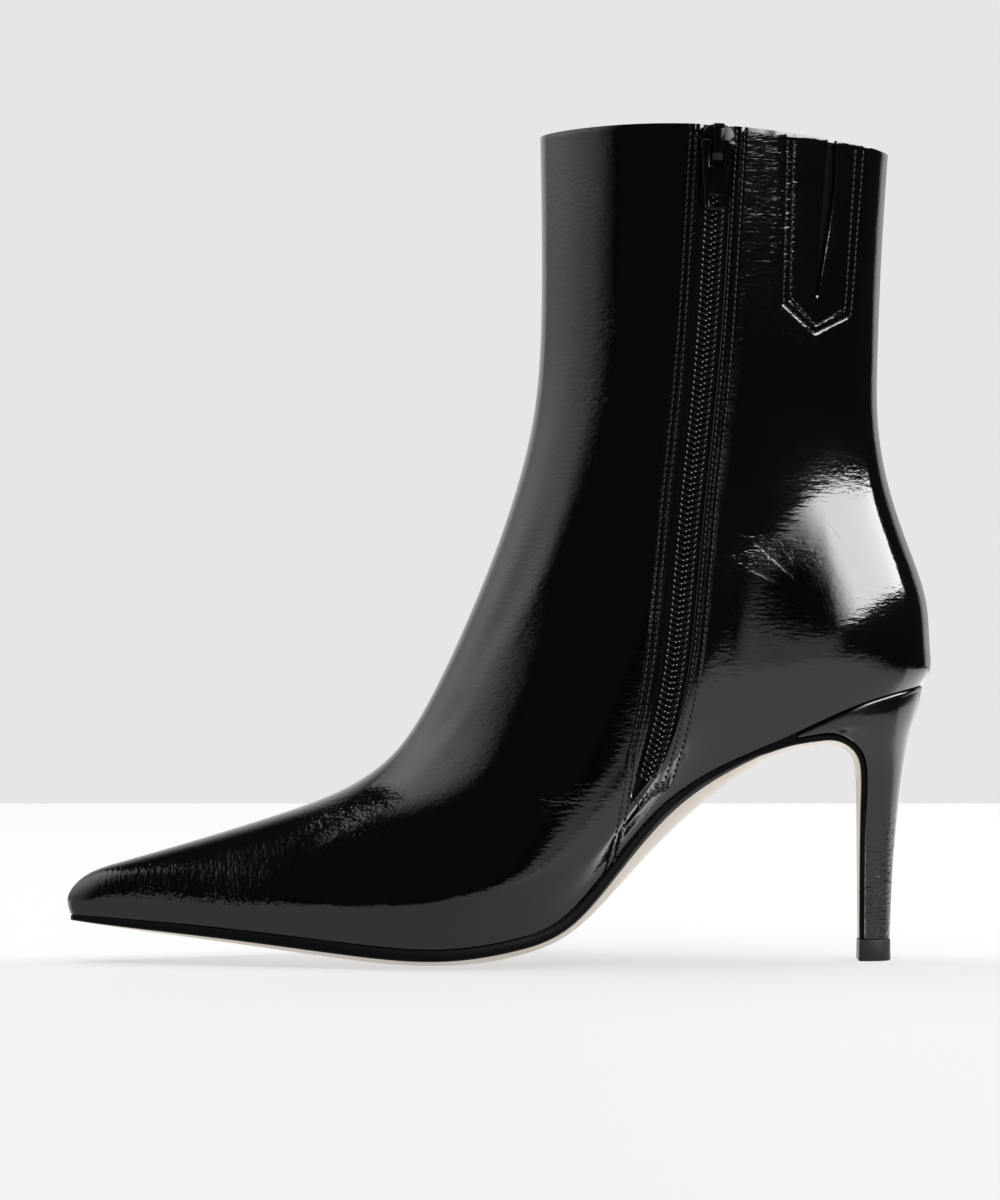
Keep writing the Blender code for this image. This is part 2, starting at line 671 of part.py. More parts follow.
def make_zip_slider(metal, frame):
    """The slider's top plate with its crown, joined to one solid."""
    loops = []
    for c in (PLATE_LOW, PLATE_HIGH):
        right = [placed(frame, a, half, c) for a, half in zip(PLATE["a"], PLATE["half"])]
        left = [placed(frame, a, -half, c) for a, half in zip(PLATE["a"], PLATE["half"])]
        loops.append(right + left[::-1])
    slider = loft("zip_slider", loops, metal)
    rim = list(zip(CROWN_OUTSIDE["a"], CROWN_OUTSIDE["c"]))
    rim += list(zip(CROWN_INSIDE["a"], CROWN_INSIDE["c"]))[::-1]
    sides = (-CROWN_HALF, CROWN_HALF)
    crown = loft("crown", [[placed(frame, a, b, c) for a, c in rim] for b in sides], metal)
    crown.hide_render = True
    crown.display_type = "WIRE"
    join = slider.modifiers.new("crown", "BOOLEAN")
    join.operation = "UNION"
    join.solver = "EXACT"
    join.object = crown
    return slider


def make_zip_pull(metal, frame):
    """The tab: a tapered plate with a window round the crown and one near its end."""
    points, faces = [], []
    for a, half, window in zip(PULL["a"], PULL["half"], PULL["window"]):
        points += [placed(frame, a, b, PIVOT_OUT) for b in (-half, -window, window, half)]
    for row, opened in enumerate(PULL["open_below"][:-1]):
        for j in range(3):
            if not (opened and j == 1):
                a = row * 4 + j
                faces.append((a, a + 1, a + 5, a + 4))
    pivot = frame[0]
    pull = add_object("zip_pull", points, faces, metal, middle=pivot)
    pull.location = (Vector(pivot) - Vector(MIDDLE)) * MM
    body = pull.modifiers.new("thickness", "SOLIDIFY")
    body.thickness = PULL_THICKNESS * MM
    body.offset = 0
    body.use_even_offset = True
    return pull


def main():
    """Clears the file and makes every piece."""
    for old in list(bpy.data.objects):
        bpy.data.objects.remove(old)
    frame = zip_frame()
    make_upper(material("upper_leather", (0.012, 0.012, 0.013), 0.18))
    make_outsole(material("sole_leather", (0.60, 0.44, 0.30), 0.45))
    make_heel(material("heel_leather", (0.012, 0.012, 0.013), 0.18))
    make_heel_tip(material("heel_tip_rubber", (0.015, 0.015, 0.015), 0.4))
    make_insole(material("insole_leather", (0.05, 0.045, 0.04), 0.5))
    make_zip_tape(material("zip_tape_cloth", (0.02, 0.02, 0.02), 0.8))
    make_zip_coil(material("zip_coil_plastic", (0.03, 0.03, 0.03), 0.35))
    make_gore(material("gore_elastic_cloth", (0.02, 0.02, 0.02), 0.8))
    make_zip_slider(material("slider_metal", (0.03, 0.03, 0.032), 0.25, 1.0), frame)
    make_zip_pull(material("pull_metal", (0.03, 0.03, 0.032), 0.22, 1.0), frame)


main()
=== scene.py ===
# %% [markdown]
# A pointed-toe ankle boot for the right foot, in black polished leather.
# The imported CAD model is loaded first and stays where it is. Every visible piece of this scene is then
# modelled over it, in the same place and to the same sizes, with finer shapes and real finishes.

# %% Load the frame
import math

import bmesh
import bpy
import numpy as np
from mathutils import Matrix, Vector


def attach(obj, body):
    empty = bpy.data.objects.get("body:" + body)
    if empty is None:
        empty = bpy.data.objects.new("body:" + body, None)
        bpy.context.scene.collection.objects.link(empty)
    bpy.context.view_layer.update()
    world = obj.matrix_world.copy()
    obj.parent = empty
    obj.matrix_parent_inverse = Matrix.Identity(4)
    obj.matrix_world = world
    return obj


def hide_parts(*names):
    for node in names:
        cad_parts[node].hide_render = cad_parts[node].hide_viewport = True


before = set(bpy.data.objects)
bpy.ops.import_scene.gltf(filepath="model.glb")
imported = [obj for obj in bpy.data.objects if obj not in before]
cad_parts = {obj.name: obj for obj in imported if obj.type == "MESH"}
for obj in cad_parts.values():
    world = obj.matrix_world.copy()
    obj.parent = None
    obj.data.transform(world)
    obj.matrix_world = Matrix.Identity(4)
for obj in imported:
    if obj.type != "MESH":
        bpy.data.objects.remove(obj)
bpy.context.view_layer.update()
MM = 0.001

# %% [markdown]
# The photograph is taken level with the ankle, from the inner side of the foot, with a long lens.
# A camera 1.3 m away at 108 mm height with a 130 mm lens gives the same outline.

# %% Camera
eye = bpy.data.cameras.new("eye")
eye.lens, eye.sensor_width, eye.sensor_fit = 130.0, 36.0, "AUTO"
camera = bpy.data.objects.new("camera", eye)
camera.location = (0.0, -1.3, 0.108)
camera.rotation_euler = (math.radians(90), 0, 0)
bpy.context.scene.collection.objects.link(camera)
bpy.context.scene.camera = camera
bpy.context.scene.view_settings.view_transform = "Standard"
print("camera at", tuple(camera.location))

# %% [markdown]
# Shaders are sums and products of a few patterns. Writing each Math node by hand hides the idea, so one
# small class wraps a socket: arithmetic on it adds the Math nodes, and its node method adds any other node.

# %% Shader arithmetic


class Wire:
    """An output socket of a shader tree that takes part in Python arithmetic."""

    def __init__(self, tree, socket=None):
        self.tree, self.socket = tree, socket

    def feed(self, target, value):
        if isinstance(value, Wire):
            self.tree.links.new(value.socket, target)
        else:
            target.default_value = value

    def node(self, kind, settings=None, sockets=None, out=0):
        made = self.tree.nodes.new("ShaderNode" + kind)
        for name, value in (settings or {}).items():
            setattr(made, name, value)
        for name, value in (sockets or {}).items():
            self.feed(made.inputs[name], value)
        return Wire(self.tree, made.outputs[out])

    def math(self, operation, *values):
        return self.node("Math", {"operation": operation}, dict(enumerate((self, *values))))

    def clamp(self, low, high):
        return self.node("MapRange", {"interpolation_type": "SMOOTHSTEP"},
                         {"Value": self, "From Min": low, "From Max": high})

    def bell(self, middle, width):
        """1 at the middle, falling to 0 some widths away."""
        off = (self - middle) / width
        return (off * off * -1).math("EXPONENT")

    def __add__(self, other):
        return self.math("ADD", other)

    def __sub__(self, other):
        return self.math("SUBTRACT", other)

    def __rsub__(self, other):
        return (self * -1) + other

    def __mul__(self, other):
        return self.math("MULTIPLY", other)

    def __truediv__(self, other):
        return self.math("DIVIDE", other)

    __radd__, __rmul__ = __add__, __mul__


print("wires ready")

# %% [markdown]
# Each finish is one Principled shader. The helpers make it, set or link its inputs, and give the patterns
# that most finishes share: noise, a mix of two colours, the place on the boot and a bump in millimetres.

# %% Finishes
COLOUR_SOCKETS, COLOUR_OUT = (6, 7), 2
OBJECT_OUT, FACTOR_OUT = 3, 2


def new_finish(name):
    """A material with its Principled shader, and a wire to start patterns from."""
    made = bpy.data.materials.new(name)
    made.use_nodes = True
    return made, made.node_tree.nodes["Principled BSDF"], Wire(made.node_tree)


def set_finish(shader, pen, **values):
    """Sets or links inputs of the Principled shader, named with _ for spaces."""
    for name, value in values.items():
        pen.feed(shader.inputs[name.replace("_", " ")], value)


def mixed(pen, amount, first, second):
    """A colour between two, by an amount; each is three numbers or a wire."""
    pair = [c if isinstance(c, Wire) else (*c, 1) for c in (first, second)]
    sockets = {"Factor": amount, **dict(zip(COLOUR_SOCKETS, pair))}
    return pen.node("Mix", {"data_type": "RGBA"}, sockets, out=COLOUR_OUT)


def here(pen):
    """The place of a shaded point on the boot, in metres."""
    return pen.node("TexCoord", out=OBJECT_OUT)


def axis(pen, place, number):
    """One of the three numbers of a place."""
    return pen.node("SeparateXYZ", None, {0: place}, out=number)


def told(pen, name):
    """A number that the vertices of a piece carry."""
    return pen.node("Attribute", {"attribute_name": name}, out=FACTOR_OUT)


def noise(pen, place, scale, detail=2.0, rough=0.5):
    return pen.node("TexNoise", None, {"Vector": place, "Scale": scale, "Detail": detail, "Roughness": rough})


def bumped(pen, height_mm, strength=1.0):
    """A normal from a height in millimetres."""
    return pen.node("Bump", None, {"Strength": strength, "Distance": MM, "Height": height_mm})


print("shader tools ready")

# %% [markdown]
# The studio: the boot stands on a pale table in front of a pale wall. Its gloss shows what is round it: a
# lit wall on the left, a long lamp high on the right, the table, and a dark room behind the camera. The
# shading light comes from above and is kept out of the reflections, so that these stay clean.

# %% Table and wall


def show_card(name, shape, finish, **seen):
    """A card of the studio that only some kinds of rays see."""
    mesh = bpy.data.meshes.new(name)
    shape.to_mesh(mesh)
    shape.free()
    mesh.materials.append(finish)
    card = bpy.data.objects.new(name, mesh)
    bpy.context.scene.collection.objects.link(card)
    for kind, flag in seen.items():
        setattr(card, "visible_" + kind, flag)


def flat_card(name, corners, finish, **seen):
    """A card through four corners."""
    shape = bmesh.new()
    shape.faces.new([shape.verts.new(c) for c in corners])
    show_card(name, shape, finish, **seen)


pale, shader, pen = new_finish("pale_table")
set_finish(shader, pen, Base_Color=(0.33, 0.33, 0.33, 1), Roughness=0.6, Specular_IOR_Level=0.1,
           Emission_Color=(0.5, 0.5, 0.5, 1), Emission_Strength=1.0)
WALL_Y = 1.0
far = [(-4, -4, 0), (4, -4, 0), (4, WALL_Y, 0), (-4, WALL_Y, 0)]
flat_card("table", far, pale, glossy=False)

world = bpy.data.worlds.new("studio")
world.use_nodes = True
bpy.context.scene.world = world
air = world.node_tree.nodes["Background"]
pen = Wire(world.node_tree)
seen = pen.node("LightPath", out=0)
pen.feed(air.inputs["Color"], mixed(pen, seen, (0.022, 0.022, 0.022), (0.79, 0.79, 0.79)))
print("table and wall ready")

# %% [markdown]
# Gloss shows what it mirrors, so each card below glows and is seen by glossy rays alone: a lit wall on the
# toe's side, the wall behind, the table with a low lip at its front, a long lamp round the heel's side and a
# small one overhead. Area lamps would do too, but a card can fade across its face, as a lit wall does.

# %% Glowing cards
LAMP = {"turn_deg": (-4.0, 102.0), "far": 3.0, "steps": 48, "x": 0.1, "z": 0.11, "top": 1.3, "level": 11.0}
LAMP_EDGE = {"rise": 0.315, "peak_deg": 80.0}
SMALL_LAMP_LEVEL = 7.0


def glow(name, strength):
    """A material that only gives light; strength is a number or a function of the place."""
    made, shader, pen = new_finish(name)
    set_finish(shader, pen, Base_Color=(0, 0, 0, 1), Specular_IOR_Level=0.0)
    if callable(strength):
        level = strength(*(axis(pen, here(pen), k) for k in range(3)))
        shade = pen.node("CombineColor", None, {k: level for k in range(3)})
        set_finish(shader, pen, Emission_Color=shade, Emission_Strength=1.0)
    else:
        set_finish(shader, pen, Emission_Color=(1, 1, 1, 1), Emission_Strength=strength)
    return made


def left_wall(x, y, z):
    """Brightest beside the toe, fading towards the camera and the floor."""
    level = (y.bell(0.05, 0.55) * 0.95 + 0.75) * (z.clamp(0.1, 0.7) * 0.6 + 0.4)
    return level * y.clamp(-1.05, -0.5) * (z * -1).clamp(-1.5, -1.4)


def back_wall(x, y, z):
    """Dimmer right behind the boot, higher up and towards its right end."""
    sides = 0.9 - x.bell(0.25, 0.35) * 0.5
    return sides * ((z * -1).clamp(-1.6, -0.2) * 0.85 + 0.15) * (x * -1).clamp(-1.35, -0.95)


def table_top(x, y, z):
    """Pale in front of the boot as far as the table reaches, and brighter behind it."""
    ahead = x.clamp(-0.03, 0.11) * 0.3 + 0.52
    return ahead * y.clamp(-1.45, -0.5) * (x * -1).clamp(-0.7, -0.25) + y.clamp(-0.02, 0.03) * 1.1


def table_lip(x, y, z):
    """The turned-up front of the table, higher in front of the arch."""
    high = x.clamp(-0.35, -0.1) * 0.06
    return (high - z).clamp(-0.1, -0.06) * (x * -1).clamp(-0.4, -0.2) * 0.55


def long_lamp(x, y, z):
    """Fading out towards the camera."""
    return x.clamp(0.5, 1.5) * LAMP["level"]


print("glowing cards ready")

# %% Lamps and lit walls
REFLECTED = {"camera": False, "diffuse": False, "shadow": False}
lit = [(-0.9, -1.05, 0), (-0.9, 2.4, 0), (-0.9, 2.4, 1.55), (-0.9, -1.05, 1.55)]
flat_card("left_wall", lit, glow("left_glow", left_wall), **REFLECTED)
behind = [(-0.9, 1.02, 0), (1.35, 1.02, 0), (1.35, 1.02, 2.4), (-0.9, 1.02, 2.4)]
flat_card("back_wall", behind, glow("back_glow", back_wall), **REFLECTED)
near = [(-1.2, -1.5, 0), (0.7, -1.5, 0), (0.7, WALL_Y, 0), (-1.2, WALL_Y, 0)]
flat_card("table_top", near, glow("table_glow", table_top), **REFLECTED)
lip = [(-1.2, -1.0, 0), (0.4, -1.0, 0), (0.4, -1.0, 0.16), (-1.2, -1.0, 0.16)]
flat_card("table_lip", lip, glow("lip_glow", table_lip), **REFLECTED)
spot = [(-0.3, -0.25, 1.6), (0.1, -0.25, 1.6), (0.1, 0.25, 1.6), (-0.3, 0.25, 1.6)]
flat_card("small_lamp", spot, glow("spot_glow", SMALL_LAMP_LEVEL), **REFLECTED)

lamp_shape = bmesh.new()
bmesh.ops.create_grid(lamp_shape, x_segments=LAMP["steps"], y_segments=1, size=1)
first, last = LAMP["turn_deg"]
for vert in lamp_shape.verts:
    turn = math.radians(first + (last - first) * (vert.co.x + 1) / 2)
    edge = LAMP_EDGE["rise"] * math.cos(turn - math.radians(LAMP_EDGE["peak_deg"]))
    rise = edge if vert.co.y < 0 else LAMP["top"]
    x, y = LAMP["x"] + LAMP["far"] * math.sin(turn), -LAMP["far"] * math.cos(turn)
    vert.co = (x, y, LAMP["z"] + LAMP["far"] * rise)
show_card("long_lamp", lamp_shape, glow("lamp_glow", long_lamp), **REFLECTED)

sky = bpy.data.lights.new("soft_sky", "AREA")
sky.shape, sky.size, sky.energy = "SQUARE", 4.0, 118.0
above = bpy.data.objects.new("soft_sky", sky)
above.location = (0, -0.4, 2.5)
above.visible_glossy = False
bpy.context.scene.collection.objects.link(above)
print("lamps ready")

# %% [markdown]
# The boot's own surface. A last maker draws a boot with a side view and rings of widths, and so does the
# CAD source: a ridge line over the toe and up the front, a back line, a feather line along the sole, and
# rings of half widths between them. The same short tables are repeated here, because everything else, from
# the stitches to the zip, is laid on this surface. ARCH is one soft fullness more, where the foot's arch
# fills the inner side: where its middle lies in the side view, how it leans, and how long and wide it is.

# %% Tables of the last
WALL = 1.8
TOE_X, HEEL_X = -128.0, 126.8
INNER, OUTER = -1, 1
MIDDLE = np.array([0.15, 0.07, 0.0])
RIDGE = {
    "x": (-128.0, -128.9, -126.2, -114.0, -90.0, -66.0, -45.0, -32.0, -20.7, -8.7, 3.3, 10.2, 12.6, 12.2),
    "z": (14.6, 18.6, 23.7, 29.6, 36.5, 44.0, 52.3, 61.8, 78.5, 104.0, 135.5, 163.0, 198.0, 246.6),
}
BACK = {
    "x": (126.8, 128.8, 129.0, 127.9, 122.9, 116.9, 113.5, 113.3, 114.6, 116.4),
    "z": (82.9, 86.6, 93.0, 107.0, 123.0, 141.0, 160.0, 180.0, 213.0, 241.0),
}
COLLAR = {"share": (0.0, 0.25, 0.5, 0.75, 1.0), "z": (241.0, 244.3, 247.0, 247.7, 246.6)}
FEATHER = {
    "x": (126.8, 105.0, 85.0, 65.0, 46.0, 32.0, 19.0, 5.0, -15.0, -45.0, -85.0, -128.0),
    "inner_z": (82.9, 77.0, 67.8, 58.8, 45.4, 29.0, 14.9, 9.0, 6.1, 7.7, 11.6, 14.6),
    "outer_z": (82.9, 77.0, 67.8, 56.0, 40.2, 25.2, 13.0, 7.9, 6.1, 7.7, 11.6, 14.6),
    "camber": (0.0, 0.0, 0.2, 1.2, 1.8, 1.6, 2.0, 3.2, 3.8, 3.4, 2.2, 0.3),
}
SWING = {
    "x": (126.8, 90.0, 50.0, 10.0, -30.0, -80.0, -128.0),
    "y": (0.0, 0.3, 3.0, 1.0, -0.5, -3.0, -7.5),
}
STATION = (0.08, 0.30, 0.52, 0.70, 0.88)
RING = {
    "level": (0.00, 0.05, 0.12, 0.22, 0.36, 0.55, 0.78, 1.00),
    "heel": (24.0, 26.4, 27.0, 25.6, 22.4, 19.0, 18.4, 18.8),
    "waist": (22.6, 26.4, 29.6, 30.6, 29.8, 28.4, 28.8, 30.0),
    "ball": (35.6, 38.2, 37.4, 35.2, 32.6, 30.4, 31.0, 32.4),
    "vamp": (29.6, 31.6, 30.6, 29.8, 28.6, 27.4, 28.2, 29.4),
    "toe": (14.0, 16.0, 17.2, 18.4, 19.0, 19.4, 20.2, 21.0),
    "back_radius": (25.0, 27.0, 27.0, 24.5, 21.0, 18.5, 19.0, 20.5),
    "front_radius": (4.0, 5.5, 7.0, 9.5, 13.0, 17.0, 19.5, 20.5),
}
ARCH = {"x": 10.0, "z": 68.0, "lean": 50.0, "long": 40.0, "wide": 22.0, "out": 2.4, "fade": 18.0}
print("tables of the last ready")

# %% [markdown]
# Smooth curves run through the rows of the tables. Blender's own curves could do this, but here a curve is
# asked for thousands of places at once, so a natural cubic in numpy is the simplest tool.

# %% Curves through tables


def spline(knots, values):
    """A natural cubic through the rows of a table, as a function of an array."""
    order = np.argsort(knots)
    k, f = np.asarray(knots, float)[order], np.asarray(values, float)[order]
    h = np.diff(k)
    system, right = np.eye(len(k)), np.zeros(len(k))
    for i in range(1, len(k) - 1):
        system[i, i - 1:i + 2] = h[i - 1], 2 * (h[i - 1] + h[i]), h[i]
        right[i] = 6 * ((f[i + 1] - f[i]) / h[i] - (f[i] - f[i - 1]) / h[i - 1])
    bend = np.linalg.solve(system, right)

    def value(at):
        i = np.clip(np.searchsorted(k, at) - 1, 0, len(k) - 2)
        a, b = (k[i + 1] - at) / h[i], (at - k[i]) / h[i]
        return a * f[i] + b * f[i + 1] + ((a**3 - a) * bend[i] + (b**3 - b) * bend[i + 1]) * h[i]**2 / 6

    return value


def along_path(table):
    """Every column of a table of side view points, by the share of the path's length."""
    steps = np.hypot(np.diff(table["x"]), np.diff(table["z"]))
    along = np.concatenate([[0], np.cumsum(steps)]) / steps.sum()
    return {name: spline(along, table[name]) for name in table}


ridge, back = along_path(RIDGE), along_path(BACK)
collar_z = spline(COLLAR["share"], COLLAR["z"])
swing_y = spline(SWING["x"], SWING["y"])
camber_at = spline(FEATHER["x"], FEATHER["camber"])
feather_rows = {INNER: FEATHER["inner_z"], OUTER: FEATHER["outer_z"]}
feather_z = {side: spline(FEATHER["x"], rows) for side, rows in feather_rows.items()}
ring_value = {name: spline(RING["level"], RING[name]) for name in RING if name != "level"}
print("curves ready; ridge top at", round(float(ridge["z"](1.0)), 1), "mm")

# %% [markdown]
# A place on the upper is given by a turn, from the back round to the front, and a level, from the sole up to
# the collar. The side view gives its length and height, and the ring of its level gives its half width. Each
# ring is one cubic through its five widths, with a round nose of a given radius at either end.

# %% The surface of the upper
ANGLES = np.array([0, *np.arccos(1 - 2 * np.array(STATION)), np.pi])
STEPS = np.diff(ANGLES)
tangents = np.eye(len(ANGLES))
for i in range(1, len(ANGLES) - 1):
    tangents[i, i - 1:i + 2] = 1 / STEPS[i - 1], 2 * (1 / STEPS[i - 1] + 1 / STEPS[i]), 1 / STEPS[i]
SOLVE = np.linalg.inv(tangents).T


def half_width(turn, level):
    """Half width of a ring; turn runs from 0 at the back to pi at the front."""
    row = {name: value(level) for name, value in ring_value.items()}
    length = np.hypot(ridge["x"](level) - back["x"](level), ridge["z"](level) - back["z"](level))
    columns = [row[name] for name in ("heel", "waist", "ball", "vamp", "toe")]
    f = np.stack([0 * level, *columns, 0 * level], -1)
    right = np.empty_like(f)
    right[..., 0] = np.sqrt(row["back_radius"] * length / 2)
    right[..., -1] = -np.sqrt(row["front_radius"] * length / 2)
    rise = np.diff(f, axis=-1) / STEPS**2
    right[..., 1:-1] = 3 * (rise[..., :-1] + rise[..., 1:])
    slope = right @ SOLVE
    i = np.clip(np.searchsorted(ANGLES, turn) - 1, 0, len(STEPS) - 1)

    def pick(table, at):
        return np.take_along_axis(table, at[..., None], -1)[..., 0]

    s, h = (turn - ANGLES[i]) / STEPS[i], STEPS[i]
    low, high = pick(f, i), pick(f, i + 1)
    c, d = pick(slope, i) * h - (high - low), (high - low) - pick(slope, i + 1) * h
    return (1 - s) * low + s * high + s * (1 - s) * ((1 - s) * c + s * d)


def side_point(turn, level, side):
    """(x, z) of a place on a ring in the side view."""
    share = (1 - np.cos(turn)) / 2
    foot_x = HEEL_X + (TOE_X - HEEL_X) * share
    collar_x = back["x"](1.0) + (ridge["x"](1.0) - back["x"](1.0)) * share
    foot_z = np.where(side == INNER, feather_z[INNER](foot_x), feather_z[OUTER](foot_x))
    foot, collar = {"x": foot_x, "z": foot_z}, {"x": collar_x, "z": collar_z(share)}
    made = []
    for axis in ("x", "z"):
        behind = back[axis](level) - (1 - level) * back[axis](0.0) - level * back[axis](1.0)
        ahead = ridge[axis](level) - (1 - level) * ridge[axis](0.0) - level * ridge[axis](1.0)
        across = (1 - level) * foot[axis] + level * collar[axis]
        made.append(across + (1 - share) * behind + share * ahead)
    return made


def arch_swelling(x, z):
    """How far the soft fullness above the arch of the inner side stands out, in millimetres."""
    c, s = math.cos(math.radians(ARCH["lean"])), math.sin(math.radians(ARCH["lean"]))
    along, across = (x - ARCH["x"]) * c + (z - ARCH["z"]) * s, (z - ARCH["z"]) * c - (x - ARCH["x"]) * s
    return ARCH["out"] * np.exp(-(along / ARCH["long"])**2 - (across / ARCH["wide"])**2)


def smooth_upper(turn, level, side):
    """Points on the outer face of the upper, in millimetres."""
    x, z = side_point(turn, level, side)
    foot_x = HEEL_X + (TOE_X - HEEL_X) * (1 - np.cos(turn)) / 2
    half = half_width(turn, level)
    near_middle = np.clip(half / ARCH["fade"], 0, 1)**2
    half = half + np.where(np.asarray(side) == INNER, arch_swelling(x, z), 0.0) * near_middle
    y = swing_y(foot_x) * (1 - level)**2 + side * half
    return np.stack([x, y, z], -1)


def outward(turn, level, side, step=0.004):
    """Unit normals of the upper."""
    along = smooth_upper(turn + step, level, side) - smooth_upper(turn - step, level, side)
    high, low = np.minimum(level + step, 1), np.maximum(level - step, 0)
    normal = np.cross(along, smooth_upper(turn, high, side) - smooth_upper(turn, low, side))
    normal *= np.asarray(side)[..., None]
    return normal / np.linalg.norm(normal, axis=-1, keepdims=True)


print("ball half width:", round(float(half_width(np.array([1.6]), np.array([0.05]))[0]), 1), "mm")

# %% [markdown]
# Two lines are drawn on the inner side: the zip, and the slit over the elastic. Each has a half gap to
# either side. A search by halving finds where a ring meets such a line, for all rings at once.

# %% Drawn lines
ZIP = {
    "z": (28.0, 45.0, 58.0, 77.0, 108.0, 137.0, 166.0, 220.0, 247.0),
    "x": (33.7, 40.2, 44.3, 49.2, 53.3, 55.9, 58.9, 62.7, 64.2),
    "half_gap": (3.0, 3.2, 3.6, 4.2, 4.3, 4.3, 4.3, 4.3, 4.3),
}
SLIT = {
    "z": (70.0, 140.0, 197.5, 215.0, 230.0, 247.0),
    "x": (98.0, 92.5, 93.4, 95.6, 97.2, 98.2),
    "half_gap": (3.0, 2.0, 0.5, 1.3, 1.7, 1.3),
}
GORE = {"z": (70.0, 190.0, 243.0), "x": (90.0, 93.3, 95.9), "half_gap": (8.0, 10.0, 11.5)}
ZIP_FOOT_Z, SLIT_FOOT_Z = 53.0, 197.5
HALVINGS, TURN_ENDS = 26, (0.28, 2.86)


class Line:
    """A line drawn in the side view of the inner side."""

    def __init__(self, table):
        self.x, self.half_gap = spline(table["z"], table["x"]), spline(table["z"], table["half_gap"])

    def turn(self, level, edge):
        """Where rings meet an edge of the line; edge counts half gaps, minus towards the toe."""
        level = np.asarray(level, float)
        low, high = (np.full(level.shape, end) for end in TURN_ENDS)
        for _ in range(HALVINGS):
            middle = (low + high) / 2
            x, z = side_point(middle, level, INNER)
            behind = x > self.x(z) + edge * self.half_gap(z)
            low, high = np.where(behind, middle, low), np.where(behind, high, middle)
        return low

    def level(self, height, edge=0.0):
        """The level of the ring that crosses the line at a height."""
        low, high = np.zeros(np.shape(height)), np.ones(np.shape(height))
        for _ in range(HALVINGS):
            middle = (low + high) / 2
            below = side_point(self.turn(middle, edge), middle, INNER)[1] < height
            low, high = np.where(below, middle, low), np.where(below, high, middle)
        return low


zip_line, slit_line, gore_line = Line(ZIP), Line(SLIT), Line(GORE)
zip_foot, slit_foot = float(zip_line.level(ZIP_FOOT_Z)), float(slit_line.level(SLIT_FOOT_Z))
print("zip foot at level", round(zip_foot, 3), "slit foot at level", round(slit_foot, 3))

# %% [markdown]
# Most pieces start as a flat grid from one bmesh operator. The grid's rows and columns are then carried to
# their places on the boot. That keeps a clean net of quads, which shades smoothly under hard gloss.

# %% Grids and objects


def grid_net(rows, columns, keep=None):
    """A grid with its row and column numbers, less the faces that keep turns down."""
    net = bmesh.new()
    bmesh.ops.create_grid(net, x_segments=columns, y_segments=rows, size=1)
    if keep:
        gone = []
        for face in net.faces:
            middle = face.calc_center_median()
            if not keep(int((middle.y + 1) / 2 * rows), int((middle.x + 1) / 2 * columns)):
                gone.append(face)
        bmesh.ops.delete(net, geom=gone, context="FACES")
    at = np.array([v.co[:2] for v in net.verts])
    row, column = (at[:, 1] + 1) / 2 * rows, (at[:, 0] + 1) / 2 * columns
    return net, np.rint(row).astype(int), np.rint(column).astype(int)


def put(net, spots):
    """Moves the vertices of a net to points in the tables' millimetres."""
    for vert, spot in zip(net.verts, (np.asarray(spots) - MIDDLE) * MM):
        vert.co = spot


print("grid tools ready")

# %% [markdown]
# A net becomes a shown piece in one place: it gets its finishes, rides on a body and stands for its CAD node.
# Thickness and rounded edges are modifiers, so that the net stays simple to read.

# %% Pieces


def carry(net, name, values):
    """Lets each vertex carry a number that a material can read."""
    layer = net.verts.layers.float.new(name)
    for vert, value in zip(net.verts, values):
        vert[layer] = value


def piece(name, net, finishes, node=None, body="boot", sharp_deg=35):
    """Turns a net into a shown piece that rides on a body and may stand for a CAD node."""
    mesh = bpy.data.meshes.new(name)
    net.to_mesh(mesh)
    net.free()
    for finish in finishes:
        mesh.materials.append(finish)
    mesh.shade_smooth()
    mesh.set_sharp_from_angle(angle=math.radians(sharp_deg))
    made = bpy.data.objects.new(name, mesh)
    bpy.context.scene.collection.objects.link(made)
    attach(made, body)
    if node:
        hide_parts(node)
    return made


def close_tube(net):
    """Welds the long seam of a net that was rolled up, closes its ends and turns it outward."""
    bmesh.ops.remove_doubles(net, verts=net.verts, dist=1e-6)
    bmesh.ops.holes_fill(net, edges=[e for e in net.edges if e.is_boundary], sides=0)
    bmesh.ops.recalc_face_normals(net, faces=net.faces)


def thicken(made, thickness_mm, offset=-1, inner=0, rim=0):
    """Gives a sheet its thickness."""
    wall = made.modifiers.new("thickness", "SOLIDIFY")
    wall.thickness, wall.offset, wall.use_even_offset = thickness_mm * MM, offset, True
    wall.material_offset, wall.material_offset_rim = inner, rim


def round_rim(made, width_mm, finish=-1, angle_deg=50):
    """Rounds the edges that a thickness leaves sharp, in one of the piece's finishes."""
    soft = made.modifiers.new("round_rim", "BEVEL")
    soft.width, soft.segments, soft.limit_method = width_mm * MM, 2, "ANGLE"
    soft.angle_limit, soft.material = math.radians(angle_deg), finish


print("piece tools ready")

# %% [markdown]
# Polished leather is almost a mirror, so its look lies in how the mirror is disturbed. Slow waves bend the
# reflections, hair-fine strands fray their edges, a net of furrows crinkles the strained places and single
# folds lie where the photograph shows them. The vertices carry how crinkled the leather is at each place.
# The gloss is on the base layer and not in a coat, because the base layer is the one whose normal is bumped.

# %% Patterns in the leather


def pores(pen, place, size_mm, warp):
    """Pores: the edges of small cells, bent by noise; 0 on a cell and -1 in a pore."""
    bend = pen.node("TexNoise", None, {"Vector": place, "Scale": 130.0, "Detail": 3.0}, out=1)
    bent = pen.node("VectorMath", {"operation": "MULTIPLY_ADD"}, {0: bend, 1: (warp, warp, warp), 2: place})
    fine = {"Vector": bent, "Scale": 1000.0 / size_mm}
    cell = pen.node("TexVoronoi", {"feature": "DISTANCE_TO_EDGE"}, fine)
    return cell.clamp(0.0, 0.22) - 1


